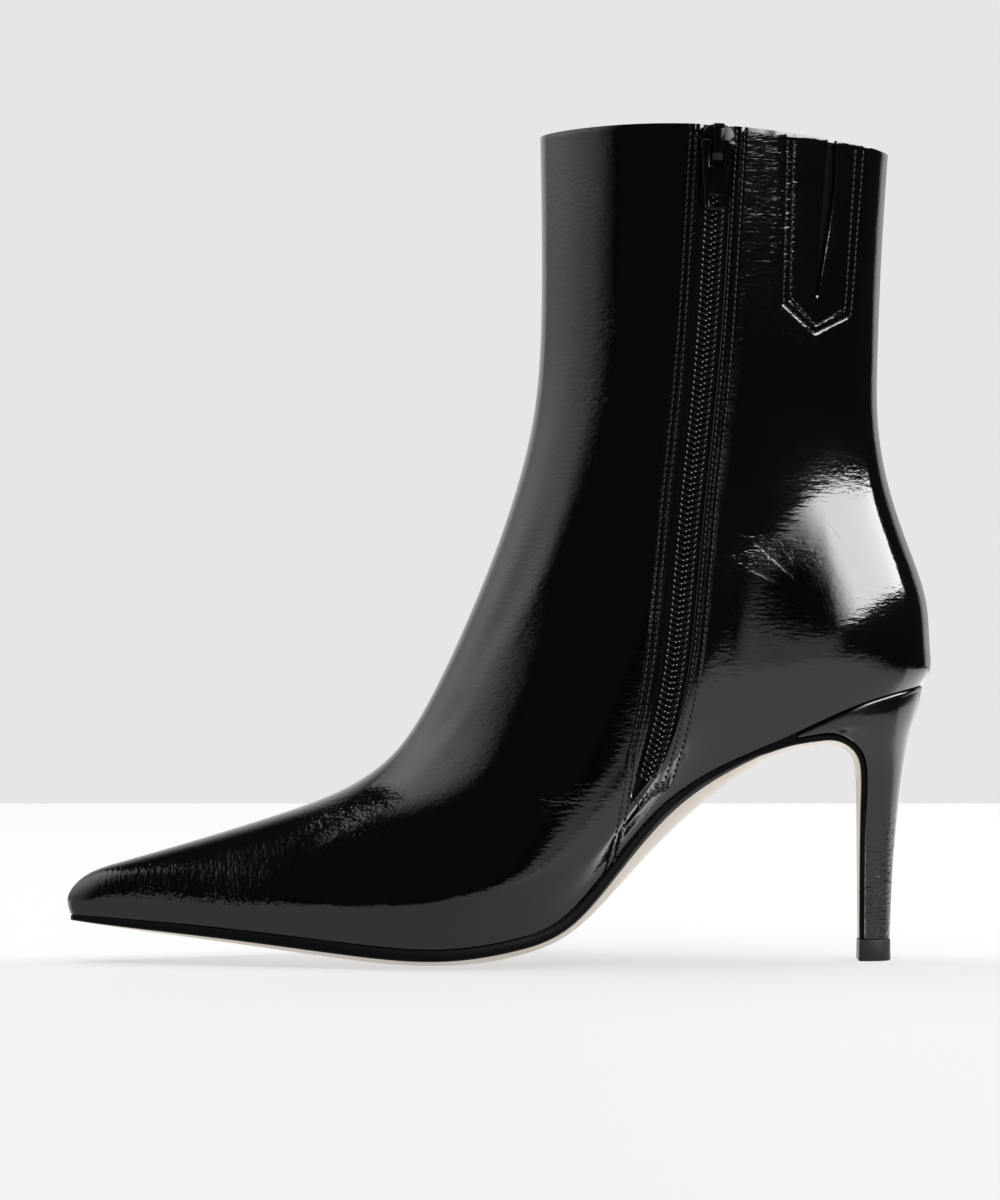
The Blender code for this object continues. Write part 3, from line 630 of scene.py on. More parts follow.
def hairs(pen, place, stretch, turn):
    """Hair-fine strands under a millimetre apart, drawn out along one direction, about 0."""
    drawn = pen.node("Mapping", None, {"Vector": place, "Rotation": (0, turn, 0), "Scale": stretch})
    return noise(pen, drawn, 1000.0, 2.0) - 0.5


def furrows(pen, place, size_mm, stretch, turn):
    """A net of furrows about a size apart, drawn out along one direction; 0 in one and 1 between."""
    drawn = pen.node("Mapping", None, {"Vector": place, "Rotation": (0, turn, 0), "Scale": stretch})
    return ((noise(pen, drawn, 1000.0 / size_mm, 2.0, 0.55) - 0.5) * 2).math("ABSOLUTE").clamp(0.0, 0.3)


print("leather patterns ready")

# %% [markdown]
# A few folds are so plain in the photograph that each gets its own row: where it lies in the side view, how
# it leans, and how long, wide and deep it is. They are too fine for the net, so they are heights in the
# material. The leather then adds all its patterns up to one height.

# %% Single folds
LINES = {
    "x": (80.3, 98.9, 71.6, 76.0, 11.3, 14.3, 19.0, 12.0,
          10.0, 30.0, -79.4, -77.0, -84.0, -89.0, -94.0, -73.0),
    "z": (120.0, 126.6, 127.0, 116.0, 53.4, 49.5, 48.0, 46.0,
          55.6, 166.8, 22.5, 22.0, 21.5, 22.0, 21.0, 23.0),
    "lean": (-40, -49, 0, -32, -6, -10, 0, -4, -25, 3, 96, 98, 88, 84, 76, 100),
    "long": (8.6, 3.4, 5.5, 6.0, 7.0, 8.5, 8.7, 6.0, 4.0, 5.5, 5.5, 5.0, 4.6, 4.8, 4.2, 4.5),
    "wide": (0.45, 0.4, 0.4, 0.4, 0.35, 0.35, 0.35, 0.35, 0.35, 0.45, 0.35, 0.35, 0.35, 0.35, 0.35, 0.35),
    "deep": (0.06, 0.03, 0.02, 0.04, 0.03, 0.035, 0.03, 0.025,
             0.025, 0.05, 0.05, 0.05, 0.04, 0.035, 0.035, 0.03),
}


def fold_lines(pen, place):
    """Single fine folds, each at its own place of the side view, in millimetres."""
    x, z = (axis(pen, place, k) * 1000 for k in (0, 2))
    wobble = (noise(pen, place, 150.0, 3.0) - 0.5) * 3.0
    total = 0.0
    for at_x, at_z, lean, long, wide, deep in zip(*LINES.values()):
        c, s = math.cos(math.radians(lean)), math.sin(math.radians(lean))
        along = x.math("MULTIPLY_ADD", c / long, -(at_x * c + at_z * s) / long)
        along = z.math("MULTIPLY_ADD", s / long, along)
        across = z.math("MULTIPLY_ADD", c, x.math("MULTIPLY_ADD", -s, at_x * s - at_z * c)) + wobble
        away = (across * across).math("MULTIPLY_ADD", 1 / wide**2, along * along)
        fade = pen.node("Math", {"operation": "POWER"}, {0: math.exp(-1), 1: away})
        total = fade.math("MULTIPLY_ADD", -deep, total)
    return total


print(len(LINES["x"]), "single folds")

# %% Leather


def leather(name, patch, extra=None, dull=0.0):
    """Black polished leather; patch is the crinkle mask and extra an added height in millimetres."""
    made, shader, pen = new_finish(name)
    place = here(pen)
    mask = patch(pen)
    waves = (noise(pen, place, 22.0, 1.0) - 0.5) * 0.45 + (noise(pen, place, 75.0, 2.0) - 0.5) * 0.12
    upright, lying = hairs(pen, place, (1.0, 0.6, 0.22), 0.1), hairs(pen, place, (0.2, 0.6, 1.0), 0.15)
    toe = axis(pen, place, 0) * -1
    which = (toe * 60 + noise(pen, place, 40.0, 2.0) * 2).clamp(3.6, 5.6)
    strands = upright * which + lying * (1 - which)
    crinkles = furrows(pen, place, 2.2, (0.7, 1.0, 1.0), 0.5)
    height = waves + strands * (mask * 0.3 + 0.01) + crinkles * mask * 0.06
    if extra:
        height = height + extra(pen, place)
    rough = noise(pen, place, 60.0, 3.0) * 0.05 + mask * 0.04 + 0.05 + dull
    tint = mixed(pen, noise(pen, place, 35.0, 2.0), (0.0012, 0.0012, 0.0012), (0.0028, 0.0027, 0.0026))
    set_finish(shader, pen, Base_Color=tint, Roughness=rough, Normal=bumped(pen, height),
               Specular_IOR_Level=0.75, IOR=1.5)
    return made


def painted_patch(pen):
    return told(pen, "crinkle")


ZIP_ROWS = {"offset": (-8.2, -6.4, 5.3, 7.7), "foot_z": (28.5, 28.5, 55.0, 55.0)}
SEAM_SHIFT = {"z": (27.0, 51.0, 63.0, 80.0), "x": (6.0, 2.4, 0.5, 0.0)}


def upper_seams(pen, place):
    """Grooves that seams and stitch rows pull into the leather, and the single folds."""
    zip_mm = told(pen, "zip_mm")
    gore_mm = told(pen, "gore_mm")
    z = axis(pen, place, 2) * 1000
    rows = 0.0
    for offset, foot in zip(*ZIP_ROWS.values()):
        rows = zip_mm.bell(offset, 0.5) * z.clamp(foot - 4, foot) * -0.12 + rows
    panel = (gore_mm.bell(0.0, 0.5) + gore_mm.bell(2.2, 0.5)) * (noise(pen, place, 400.0) * -0.16)
    return rows + panel + fold_lines(pen, place)


upper_leather = leather("upper_leather_look", painted_patch, upper_seams)
print("leather ready")

# %% [markdown]
# The inside is lined with thin matte leather with fine pores, and the cut edges are painted black. The lining
# could be a sheet of its own. Here it is the inner face of the wall, since the two are glued together.

# %% Lining
lining, shader, pen = new_finish("lining_look")
place = here(pen)
dots = pores(pen, place, 0.9, 0.001) * 0.02
tint = mixed(pen, noise(pen, place, 90.0, 3.0), (0.010, 0.010, 0.010), (0.020, 0.019, 0.018))
set_finish(shader, pen, Base_Color=tint, Roughness=noise(pen, place, 50.0) * 0.15 + 0.45,
           Normal=bumped(pen, dots), Specular_IOR_Level=0.4)
edge_paint, shader, pen = new_finish("edge_paint")
place = here(pen)
set_finish(shader, pen, Base_Color=(0.004, 0.004, 0.004, 1), Roughness=noise(pen, place, 200.0) * 0.1 + 0.6,
           Normal=bumped(pen, noise(pen, place, 500.0) * 0.03), Specular_IOR_Level=0.08)
print("lining and edge paint ready")

# %% [markdown]
# The upper is one lasted wall. Its net is drawn round the boot from the back: past the slit, the quarter,
# the zip, the vamp, round the toe and home along the outer side. Some columns follow the edges of the zip
# and of the slit closely, so that those edges can be rounded and the openings cut out as whole faces.

# %% Net of the upper
ROWS = {"foot": 58, "leg": 70, "top": 36}
CROWDING = 1.8
EDGES = (1.0, 1.1, 1.25, 1.5, 1.9, 2.4)
MARKS = [("back", 0, 24), *[("slit", e, 1) for e in (3.2, 2.2, 1.5)], ("slit", 1.0, 2),
         *[("slit", -e, 1) for e in (1.0, 1.5, 2.2)], ("slit", -3.2, 34),
         *[("zip", e, 1) for e in EDGES[:0:-1]], ("zip", 1.0, 2),
         *[("zip", -e, 1) for e in EDGES[:-1]], ("zip", -EDGES[-1], 64), ("front", 0, 128)]


def upper_net():
    """(levels, turns, sides, first zip and slit columns) of the upper's net."""
    foot = zip_foot * (np.linspace(0, 1, ROWS["foot"] + 1)[:-1]**CROWDING)
    leg = np.linspace(zip_foot, slit_foot, ROWS["leg"] + 1)[:-1]
    levels = np.concatenate([foot, leg, np.linspace(slit_foot, 1, ROWS["top"] + 1)])
    found = {"back": lambda edge: 0 * levels, "front": lambda edge: 0 * levels + np.pi,
             "slit": lambda edge: slit_line.turn(levels, edge),
             "zip": lambda edge: zip_line.turn(levels, edge)}
    starts = [found[name](edge) for name, edge, _ in MARKS]
    turns, sides, cuts = [], [], {}
    for number, (name, edge, count) in enumerate(MARKS):
        end = starts[number + 1] if number + 1 < len(MARKS) else 0 * levels
        if count == 2:
            cuts[name] = len(turns)
        for step in range(count):
            turns.append(starts[number] + (end - starts[number]) * step / count)
            sides.append(OUTER if name == "front" else INNER)
    turns.append(0 * levels)
    sides.append(OUTER)
    return levels, np.array(turns).T, np.array(sides), cuts


levels, turns, sides, cuts = upper_net()
print("upper net:", turns.shape, "cuts", cuts)

# %% [markdown]
# Lasted leather keeps soft creases where it was drawn over the ankle and the toe. Each row below is one
# crease in the boot's own sizes: where it lies in the side view, how it leans, how long, wide and deep it
# is, and on which side. A crease is a soft trough with a low ridge along both edges. Patches of fine crinkles
# are placed in the same way, and one calm place is left between them, where the leather is drawn tight.

# %% Creases
CREASES = {
    "side": (-1, -1, -1, -1, -1, -1, 1, 1, 1, 1, 1, 1),
    "x": (-2, 8, 14, -18, -44, -50, -2, 10, -16, -46, 74, 92),
    "z": (98, 118, 140, 70, 44, 40, 100, 124, 72, 44, 112, 132),
    "lean": (62, 66, 72, 48, 20, 28, 60, 68, 46, 22, 20, 28),
    "long": (16, 20, 24, 12, 8, 7, 18, 24, 12, 9, 16, 12),
    "wide": (4.0, 4.5, 5.0, 3.5, 2.6, 2.4, 4.0, 5.0, 3.5, 2.6, 3.4, 3.2),
    "deep": (0.2, 0.2, 0.15, 0.15, 0.14, 0.12, 0.22, 0.22, 0.2, 0.15, 0.16, 0.14),
}


def crease_depth(x, z, side):
    """How far the creases push the surface out, in millimetres."""
    push = np.zeros(x.shape)
    for at, cx, cz, lean, long, wide, deep in zip(*CREASES.values()):
        c, s = math.cos(math.radians(lean)), math.sin(math.radians(lean))
        along, across = (x - cx) * c + (z - cz) * s, ((z - cz) * c - (x - cx) * s) / wide
        shape = (1 - 2 * across**2) * np.exp(-across**2 - (along / long)**2)
        push -= np.where(side == at, deep, 0.0) * shape
    return push


PATCHES = {
    "x": (-48, -82, 15, 31, 28, 80, 84, -20, 104, 8, -102, 30, 20, -2),
    "z": (43, 22, 51, 190, 168, 121, 218, 64, 160, 112, 24, 148, 226, 84),
    "wide": (13, 18, 12, 9, 8, 13, 5, 12, 10, 9, 18, 9, 14, 9),
    "high": (8, 7, 6, 8, 20, 5, 30, 10, 20, 26, 7, 20, 18, 14),
    "strong": (0.7, 0.45, 0.35, 0.4, 0.25, 0.4, 0.3, 0.25, 0.15, 0.25, 0.45, 0.2, 0.2, 0.2),
}
CALM = {"x": 98, "z": 132, "wide": 22, "high": 16, "around": 0.1, "less": 0.08}


def crinkle_patches(x, z):
    """How strongly the leather is crinkled at a place of the side view."""
    calm = np.exp(-((x - CALM["x"]) / CALM["wide"])**2 - ((z - CALM["z"]) / CALM["high"])**2)
    amount = CALM["around"] - CALM["less"] * calm
    for px, pz, wide, high, strong in zip(*PATCHES.values()):
        amount = np.maximum(amount, strong * np.exp(-((x - px) / wide)**2 - ((z - pz) / high)**2))
    return amount


print(len(CREASES["x"]), "creases and", len(PATCHES["x"]), "crinkled patches")

# %% [markdown]
# The panel over the elastic is drawn by five corners in the side view, and the leather swells a little just
# outside its outline. Along the zip and the slit the edges are folded, so they roll in. A bump could hint at
# all this, but only real shape shows in the outline.

# %% Panel and folded edges
PANEL = {"x": (84.4, 83.2, 92.6, 103.7, 107.4), "z": (243.0, 194.9, 186.4, 192.0, 240.3)}
PANEL_ENDS = ((0, 12), (0.8, 14))
PANEL_RIM = {"off": 2.6, "wide": 2.4, "high": 0.3, "reach": 20}
PANEL_LOW_Z, FAR_MM = 150, 99.0
ROLL = {"zip": (1.6, 0.7), "slit_front": (1.0, 0.1), "slit_rear": (7.0, 0.4)}
ZIP_ROLL_LOW, SLIT_FADE = 2, 20


def panel_distance(x, z):
    """Distance to the outline of the panel over the elastic, minus outside it."""
    corners = np.stack([PANEL["x"], PANEL["z"]], -1)
    first, last = corners[:1] + [PANEL_ENDS[0]], corners[-1:] + [PANEL_ENDS[1]]
    corners = np.concatenate([first, corners[1:-1], last])
    near, inside = np.full(x.shape, FAR_MM), np.ones(x.shape, bool)
    for a, b in zip(corners, corners[1:]):
        run = b - a
        t = np.clip(((x - a[0]) * run[0] + (z - a[1]) * run[1]) / (run @ run), 0, 1)
        near = np.minimum(near, np.hypot(x - a[0] - t * run[0], z - a[1] - t * run[1]))
        inside &= run[0] * (z - a[1]) - run[1] * (x - a[0]) > 0
    return np.where(inside, near, -near)


def rounded_edge(off, reach, drop):
    """How far a folded edge rolls in, by the distance from the edge."""
    return -drop * np.clip(1 - off / reach, 0, 1)**2


def edge_push(x, z, zip_mm, slit_mm, gore_mm):
    """How far the folded edges and the rim of the panel push the leather out, in millimetres."""
    zip_roll = rounded_edge(np.abs(zip_mm) - zip_line.half_gap(z), *ROLL["zip"])
    slit_roll = np.where(x > slit_line.x(z), rounded_edge(slit_mm, *ROLL["slit_rear"]),
                         rounded_edge(slit_mm, *ROLL["slit_front"]))
    rim = PANEL_RIM["high"] * np.exp(-((gore_mm + PANEL_RIM["off"]) / PANEL_RIM["wide"])**2)
    push = np.where(z > ZIP_FOOT_Z - ZIP_ROLL_LOW, zip_roll, 0.0)
    push += np.clip((z - SLIT_FOOT_Z) / SLIT_FADE, 0, 1) * slit_roll
    return push + np.where(gore_mm > -PANEL_RIM["reach"], rim, 0.0)


print("panel of", len(PANEL["x"]), "corners")

# %% [markdown]
# Now the upper itself. The net is carried to the last's surface, pushed in and out by creases and edges, and
# given its thickness inwards, so that its outer face stays where the last puts it.

# %% Upper


def keep_upper(row, column):
    """False for the faces that the zip and the slit cut out."""
    if column in (cuts["zip"], cuts["zip"] + 1) and row >= ROWS["foot"]:
        return False
    return not (column in (cuts["slit"], cuts["slit"] + 1) and row >= ROWS["foot"] + ROWS["leg"])


net, row, column = grid_net(len(levels) - 1, turns.shape[1] - 1, keep_upper)
turn, level, side = turns[row, column], levels[row], sides[column]
spots, normals = smooth_upper(turn, level, side), outward(turn, level, side)
x, z = spots[:, 0], spots[:, 2]
zip_mm = np.where(side == INNER, x - zip_line.x(z), FAR_MM)
row_mm = np.where(zip_mm < 0, zip_mm - np.interp(z, SEAM_SHIFT["z"], SEAM_SHIFT["x"]), zip_mm)
high_up = (side == INNER) & (z > PANEL_LOW_Z)
slit_mm = np.where(high_up, np.abs(x - slit_line.x(z)) - slit_line.half_gap(z), FAR_MM)
gore_mm = np.where(high_up, panel_distance(x, z), -FAR_MM)
push = crease_depth(x, z, side) + edge_push(x, z, zip_mm, slit_mm, gore_mm)
put(net, spots + normals * push[:, None])
for name, values in (("crinkle", crinkle_patches(x, z)), ("zip_mm", row_mm), ("gore_mm", gore_mm)):
    carry(net, name, values)
bmesh.ops.remove_doubles(net, verts=net.verts, dist=1e-6)
bmesh.ops.recalc_face_normals(net, faces=net.faces)
finishes = [upper_leather, lining, edge_paint]
upper = piece("upper_shell", net, finishes, "upper", sharp_deg=60)
thicken(upper, WALL, inner=1, rim=2)
round_rim(upper, 0.5, 2)
print("upper:", len(upper.data.polygons), "faces on its outer side")

# %% [markdown]
# The outsole is a thin sheet of leather, painted black on its edge and pale underneath. Under the waist it
# leaves the upper and runs on down the front of the heel. It is rolled up from a grid: each row is one
# section, along its top and back along its tread, and each column runs from the toe to the heel's tip.

# %% Sole tables
SEAT_GAP = 0.3
SOLE = {
    "x": (-127.6, -110.0, -80.0, -45.0, -15.0, 10.0, 32.0, 50.0, 64.0, 79.0),
    "thickness": (1.4, 2.2, 2.8, 3.2, 3.2, 3.0, 2.6, 2.2, 1.8, 1.5),
    "margin": (0.5, 0.9, 1.0, 1.0, 1.0, 0.8, 0.5, 0.3, 0.2, 0.2),
    "swell": (0.0, 0.0, 0.0, 0.0, 0.0, 0.4, 1.8, 2.6, 2.6, 2.2),
    "paint": (0.3, 0.5, 0.7, 0.7, 0.7, 1.2, 2.0, 2.2, 1.8, 1.0),
}
BREAST = {
    "x": (76.1, 82.1, 88.1, 94.1, 99.0, 103.0, 105.8, 107.3, 107.6, 107.6, 107.6, 107.6),
    "z": (58.7, 61.2, 63.0, 64.2, 64.8, 63.6, 61.0, 56.0, 48.0, 35.0, 20.0, 6.8),
    "half_width": (22.8, 23.0, 23.2, 22.6, 20.8, 18.0, 14.6, 11.4, 8.8, 6.6, 5.2, 4.6),
    "swell": (2.4, 2.6, 2.6, 2.3, 1.8, 1.2, 0.7, 0.3, 0.1, 0.0, 0.0, 0.0),
}
HEEL = {
    "breast": (0.15, 0.20, 0.25, 0.30, 0.35, 0.39, 0.44, 0.522, 0.673, 0.847, 1.0),
    "back_x": (126.6, 125.9, 125.1, 124.2, 123.2, 122.3, 121.2, 119.9, 118.5, 117.6, 117.1),
    "back_z": (82.5, 78.6, 75.0, 71.6, 68.0, 64.0, 58.0, 48.5, 35.0, 20.0, 6.8),
    "half_width": (24.0, 23.4, 22.2, 20.1, 17.0, 13.9, 11.3, 9.0, 6.7, 5.3, 4.7),
}
HEEL_FRONT_X, HEEL_END_GAP = 88.5, 0.02
WAIST_END_X, BREAST_START, FLAP_THICKNESS = 76.0, 0.10, 1.5
breast = along_path(BREAST)
sole_at = {name: spline(SOLE["x"], SOLE[name]) for name in SOLE if name != "x"}


def turn_at(x):
    """The turn of a place on the feather line."""
    return np.arccos(np.clip(1 - 2 * (HEEL_X - x) / (HEEL_X - TOE_X), -1, 1))


def feather_width(x):
    return half_width(turn_at(x), 0 * x)


def downward(x, step=0.5):
    """Unit normals of the bottom in the side view."""
    rise = sum(feather_z[s](x + step) - feather_z[s](x - step) for s in (INNER, OUTER)) / (4 * step)
    return np.stack([rise, 0 * x, 0 * x - 1], -1) / np.hypot(rise, 1)[..., None]


def last_point(x, offset):
    """Points on the bottom of the last, at an offset from the middle of the foot."""
    q = offset / feather_width(x)
    inner, outer = feather_z[INNER](x), feather_z[OUTER](x)
    z = (inner + outer) / 2 + q * (outer - inner) / 2
    swell = camber_at(x) * np.maximum(0, 1 - q * q)
    return np.stack([x, swing_y(x) + offset, z], -1) + downward(x) * swell[..., None]


def breast_face(s, q, depth):
    """Points on the breast line, q across and a depth into the heel."""
    ahead, behind = np.minimum(s + 0.004, 1), np.maximum(s - 0.004, 0)
    run, climb = (breast[name](ahead) - breast[name](behind) for name in ("x", "z"))
    into = np.stack([-climb, 0 * s, run], -1) / np.hypot(run, climb)[..., None]
    x = breast["x"](s)
    flat = np.stack([x, swing_y(x) + q * breast["half_width"](s), breast["z"](s)], -1)
    return flat + into * (breast["swell"](s) * q * q + depth)[..., None]


print("sole tables ready")

# %% [markdown]
# The section of the sole is a thin slab with a rounded edge, drawn once as a closed ring and swept along the
# foot. Rows up to the end of the waist lie under the last, and the others lie on the breast of the heel. Each
# vertex also carries how far it is from the black edge paint.

# %% Outsole
SOLE_COLUMNS, SOLE_ROWS, SOLE_CROWDING = 27, 150, 1.12
FLAP_PAINT, MOST_INSET = 0.4, 0.3
ACROSS = np.sin(np.linspace(-math.pi / 2, math.pi / 2, SOLE_COLUMNS))
EDGE = {"depth": (0.0, 0.12, 0.5, 0.78, 0.92, 1.0), "inset": (0.3, 0.0, 0.0, 0.12, 0.45, 1.0)}


def section_ring():
    """(q, depth share, inset) round one section: top, one edge, tread, other edge."""
    top = [(q, 0.0, EDGE["inset"][0]) for q in ACROSS[1:-1]]
    tread = [(q, 1.0, EDGE["inset"][-1]) for q in ACROSS[-2:0:-1]]
    edge = list(zip(EDGE["depth"], EDGE["inset"]))
    ring = top + [(1.0, *step) for step in edge] + tread + [(-1.0, *step) for step in edge[::-1]]
    return np.array(ring + ring[:1])


ring = section_ring()
toe_x = TOE_X + 0.4 + (WAIST_END_X - TOE_X - 0.4) * np.linspace(0, 1, SOLE_ROWS)**SOLE_CROWDING
breast_s = np.concatenate([[BREAST_START], np.linspace(0.13, 0.5, 44), np.linspace(0.52, 1, 20)])
net, row, column = grid_net(len(toe_x) + len(breast_s) - 1, len(ring) - 1)
q, depth, inset = ring[column].T
spots = np.zeros((len(row), 3))
under = row < len(toe_x)
x = toe_x[row[under]]
half = feather_width(x) + sole_at["margin"](x)
face = last_point(x, q[under] * (half - np.minimum(inset[under], half * MOST_INSET)))
thick = sole_at["thickness"](x) + sole_at["swell"](x) * (1 - q[under]**2)
spots[under] = face + downward(x) * (SEAT_GAP + depth[under] * thick)[:, None]
spots[under, 2] = np.maximum(spots[under, 2], 0.0)
s = breast_s[row[~under] - len(toe_x)]
q_flap = q[~under] * (1 - np.minimum(inset[~under], 0.8) / breast["half_width"](s))
flap = breast_face(s, q_flap, FLAP_THICKNESS * (1 - depth[~under]))
under_seat = feather_z[INNER](flap[:, 0]) - SEAT_GAP
filled = (s < HEEL["breast"][0]) & (depth[~under] < 0.6)
flap[:, 2] = np.where(filled, np.maximum(flap[:, 2], under_seat), flap[:, 2])
spots[~under] = flap
ends = ~under & (row == row.max())
spots[ends, 2] = BREAST["z"][-1]
put(net, spots)
paint = np.full(len(row), FLAP_PAINT)
paint[under] = sole_at["paint"](x)
bare = np.zeros(len(row))
bare[under] = (1 - np.abs(q[under])) * half
bare[~under] = (1 - np.abs(q[~under])) * breast["half_width"](s)
carry(net, "bare_mm", np.where(depth == 1, bare - paint, -paint))
close_tube(net)
sole_net = net
print("outsole net:", len(net.faces), "faces")

# %% [markdown]
# The tread side of the sole is pale leather with a faint fibre and a few rubbed places. The black edge
# paint runs a little way round onto it. One material holds both, and bare_mm, which each vertex carries,
# tells them apart.

# %% Sole finish
sole_look, shader, pen = new_finish("sole_look")
place = here(pen)
tread = told(pen, "bare_mm").clamp(0.0, 0.5)
fibre = noise(pen, pen.node("Mapping", None, {"Vector": place, "Scale": (0.25, 1.0, 1.0)}), 420.0, 4.0, 0.65)
rubbed = noise(pen, place, 28.0, 4.0, 0.6).clamp(0.45, 0.75)
hide = mixed(pen, rubbed * 0.5 + fibre * 0.3, (0.80, 0.73, 0.65), (0.66, 0.56, 0.46))
tint = mixed(pen, tread, (0.004, 0.004, 0.004), hide)
rough = tread * (rubbed * 0.12 + 0.36) + (1 - tread) * (noise(pen, place, 150.0) * 0.08 + 0.5)
height = fibre * tread * 0.03 + noise(pen, place, 120.0, 2.0) * (1 - tread) * 0.05
set_finish(shader, pen, Base_Color=tint, Roughness=rough, Normal=bumped(pen, height), Specular_IOR_Level=0.05)
outsole = piece("outsole_shaped", sole_net, [sole_look], "outsole", sharp_deg=50)
print("outsole:", len(outsole.data.polygons), "faces")

# %% [markdown]
# The heel is a moulded block covered in the same leather, drawn tightly so that it only crinkles a little.
# Its rings run from the seat, which follows the upper, down to the tip. Each ring goes round the back as a
# U and closes along the flap.

# %% Heel


def u_points(front, back_at, half, bend):
    """Points of a U from the breast round the back; bend runs from -1 to 1."""
    s = np.cos(bend * math.pi / 2)
    reach = feather_width(HEEL_FRONT_X + (HEEL_X - HEEL_END_GAP - HEEL_FRONT_X) * s)
    spread = reach / feather_width(np.array([HEEL_FRONT_X]))
    sway = np.stack([0 * s, np.sign(bend) * half * spread, 0 * s], -1)
    return front + (back_at - front) * s[..., None] + sway


U_COLUMNS, FACE_COLUMNS = 64, 16
LIP = {"inset": (0.9, 0.4, 0.12, 0.0), "drop": (0.0, 0.12, 0.4, 0.9)}
lip_rows = len(LIP["drop"])
shares = np.concatenate([[0.15] * lip_rows, np.linspace(0.157, 0.45, 56), np.linspace(0.46, 1, 50)])
rows_at = {name: spline(HEEL["breast"], HEEL[name]) for name in ("back_x", "back_z", "half_width")}
net, row, column = grid_net(len(shares) - 1, U_COLUMNS + FACE_COLUMNS)
s = shares[row]
corner = (breast_face(s, 0 * s + 1, 0 * s + FLAP_THICKNESS + SEAT_GAP)
          + breast_face(s, 0 * s - 1, 0 * s + FLAP_THICKNESS + SEAT_GAP)) / 2
low = row == row.max()
corner[low, 2] = HEEL["back_z"][-1]
behind = np.stack([rows_at["back_x"](s), 0 * s, rows_at["back_z"](s)], -1)
on_u = column <= U_COLUMNS
bend = np.where(on_u, column / U_COLUMNS * 2 - 1, 0.0)
spots = u_points(corner, behind, rows_at["half_width"](s), bend)
q = 1 - 2 * (column - U_COLUMNS) / FACE_COLUMNS
spots[~on_u] = breast_face(s, q, 0 * s + FLAP_THICKNESS + SEAT_GAP)[~on_u]
spots[low, 2] = HEEL["back_z"][-1]
ends = column == U_COLUMNS + FACE_COLUMNS
spots[ends] = u_points(corner, behind, rows_at["half_width"](s), 0 * s - 1)[ends]
top = row < lip_rows
inset = np.array(LIP["inset"])[np.minimum(row, lip_rows - 1)]
turned = np.cos(bend * math.pi / 2)
seat_x = np.where(on_u, HEEL_FRONT_X + (HEEL["back_x"][0] - HEEL_FRONT_X) * turned, HEEL_FRONT_X)
spots[top, 0] = (seat_x - inset * turned)[top]
spots[top, 1] *= (1 - inset / HEEL["half_width"][0])[top]
drop = np.array(LIP["drop"])[np.minimum(row, lip_rows - 1)]
spots[top, 2] = (feather_z[INNER](spots[:, 0]) - SEAT_GAP - drop)[top]
put(net, spots)
close_tube(net)
heel_net = net
print("heel net:", len(net.faces), "faces")

# %% Heel finish


def heel_patch(pen):
    """Fine crinkles towards the foot of the heel."""
    place = here(pen)
    z = axis(pen, place, 2)
    return (1 - z.clamp(0.03, 0.06)) * 0.7 + noise(pen, place, 60.0).clamp(0.45, 0.7) * 0.3


heel_leather = leather("heel_leather_look", heel_patch, dull=0.08)
heel = piece("heel_covered", heel_net, [heel_leather], "heel", sharp_deg=50)
print("heel:", len(heel.data.polygons), "faces")

# %% [markdown]
# The top lift under the heel is a small slab of satin black rubber. It is the same U as the heel above it, in
# seven rings, so that its edges are rounded and its side tapers a little.

# %% Heel tip
TIP = {"z": (0.0, 0.1, 0.4, 3.0, 6.0, 6.4, 6.5), "inset": (0.5, 0.15, 0.0, 0.05, 0.1, 0.2, 0.4)}
TIP_FRONT_X, TIP_BACK_X, TIP_HALF = 107.4, 117.3, 4.9
TIP_COLUMNS, TIP_FACE = 56, 8
net, row, column = grid_net(len(TIP["z"]) - 1, TIP_COLUMNS + TIP_FACE)
inset, z = np.array(TIP["inset"])[row], np.array(TIP["z"])[row]
front = np.stack([TIP_FRONT_X + inset, 0 * z + swing_y(TIP_FRONT_X), z], -1)
behind = np.stack([TIP_BACK_X - inset, 0 * z, z], -1)
on_u = column <= TIP_COLUMNS
bend = np.where(on_u, column / TIP_COLUMNS * 2 - 1, 1 - 2 * (column - TIP_COLUMNS) / TIP_FACE)
spots = u_points(front, behind, TIP_HALF - inset, np.where(on_u, bend, np.sign(bend + 1e-9)))
spots[~on_u] = front[~on_u] + np.stack([0 * z, bend * (TIP_HALF - inset), 0 * z], -1)[~on_u]
put(net, spots)
close_tube(net)
rubber, shader, pen = new_finish("tip_rubber")
place = here(pen)
tint = mixed(pen, noise(pen, place, 300.0), (0.006, 0.006, 0.006), (0.014, 0.014, 0.014))
skin = bumped(pen, noise(pen, place, 900.0, 3.0) * 0.02)
set_finish(shader, pen, Base_Color=tint, Roughness=noise(pen, place, 400.0) * 0.15 + 0.38, Normal=skin,
           Specular_IOR_Level=0.25)
tip = piece("heel_tip_shaped", net, [rubber], "heel_tip")
print("heel tip:", len(tip.data.polygons), "faces")

# %% [markdown]
# Inside, a thin padded sock lies on the insole board. It is rolled up from a grid like the sole, a little
# rounded along its edge, and has a matte, finely pored leather of its own.

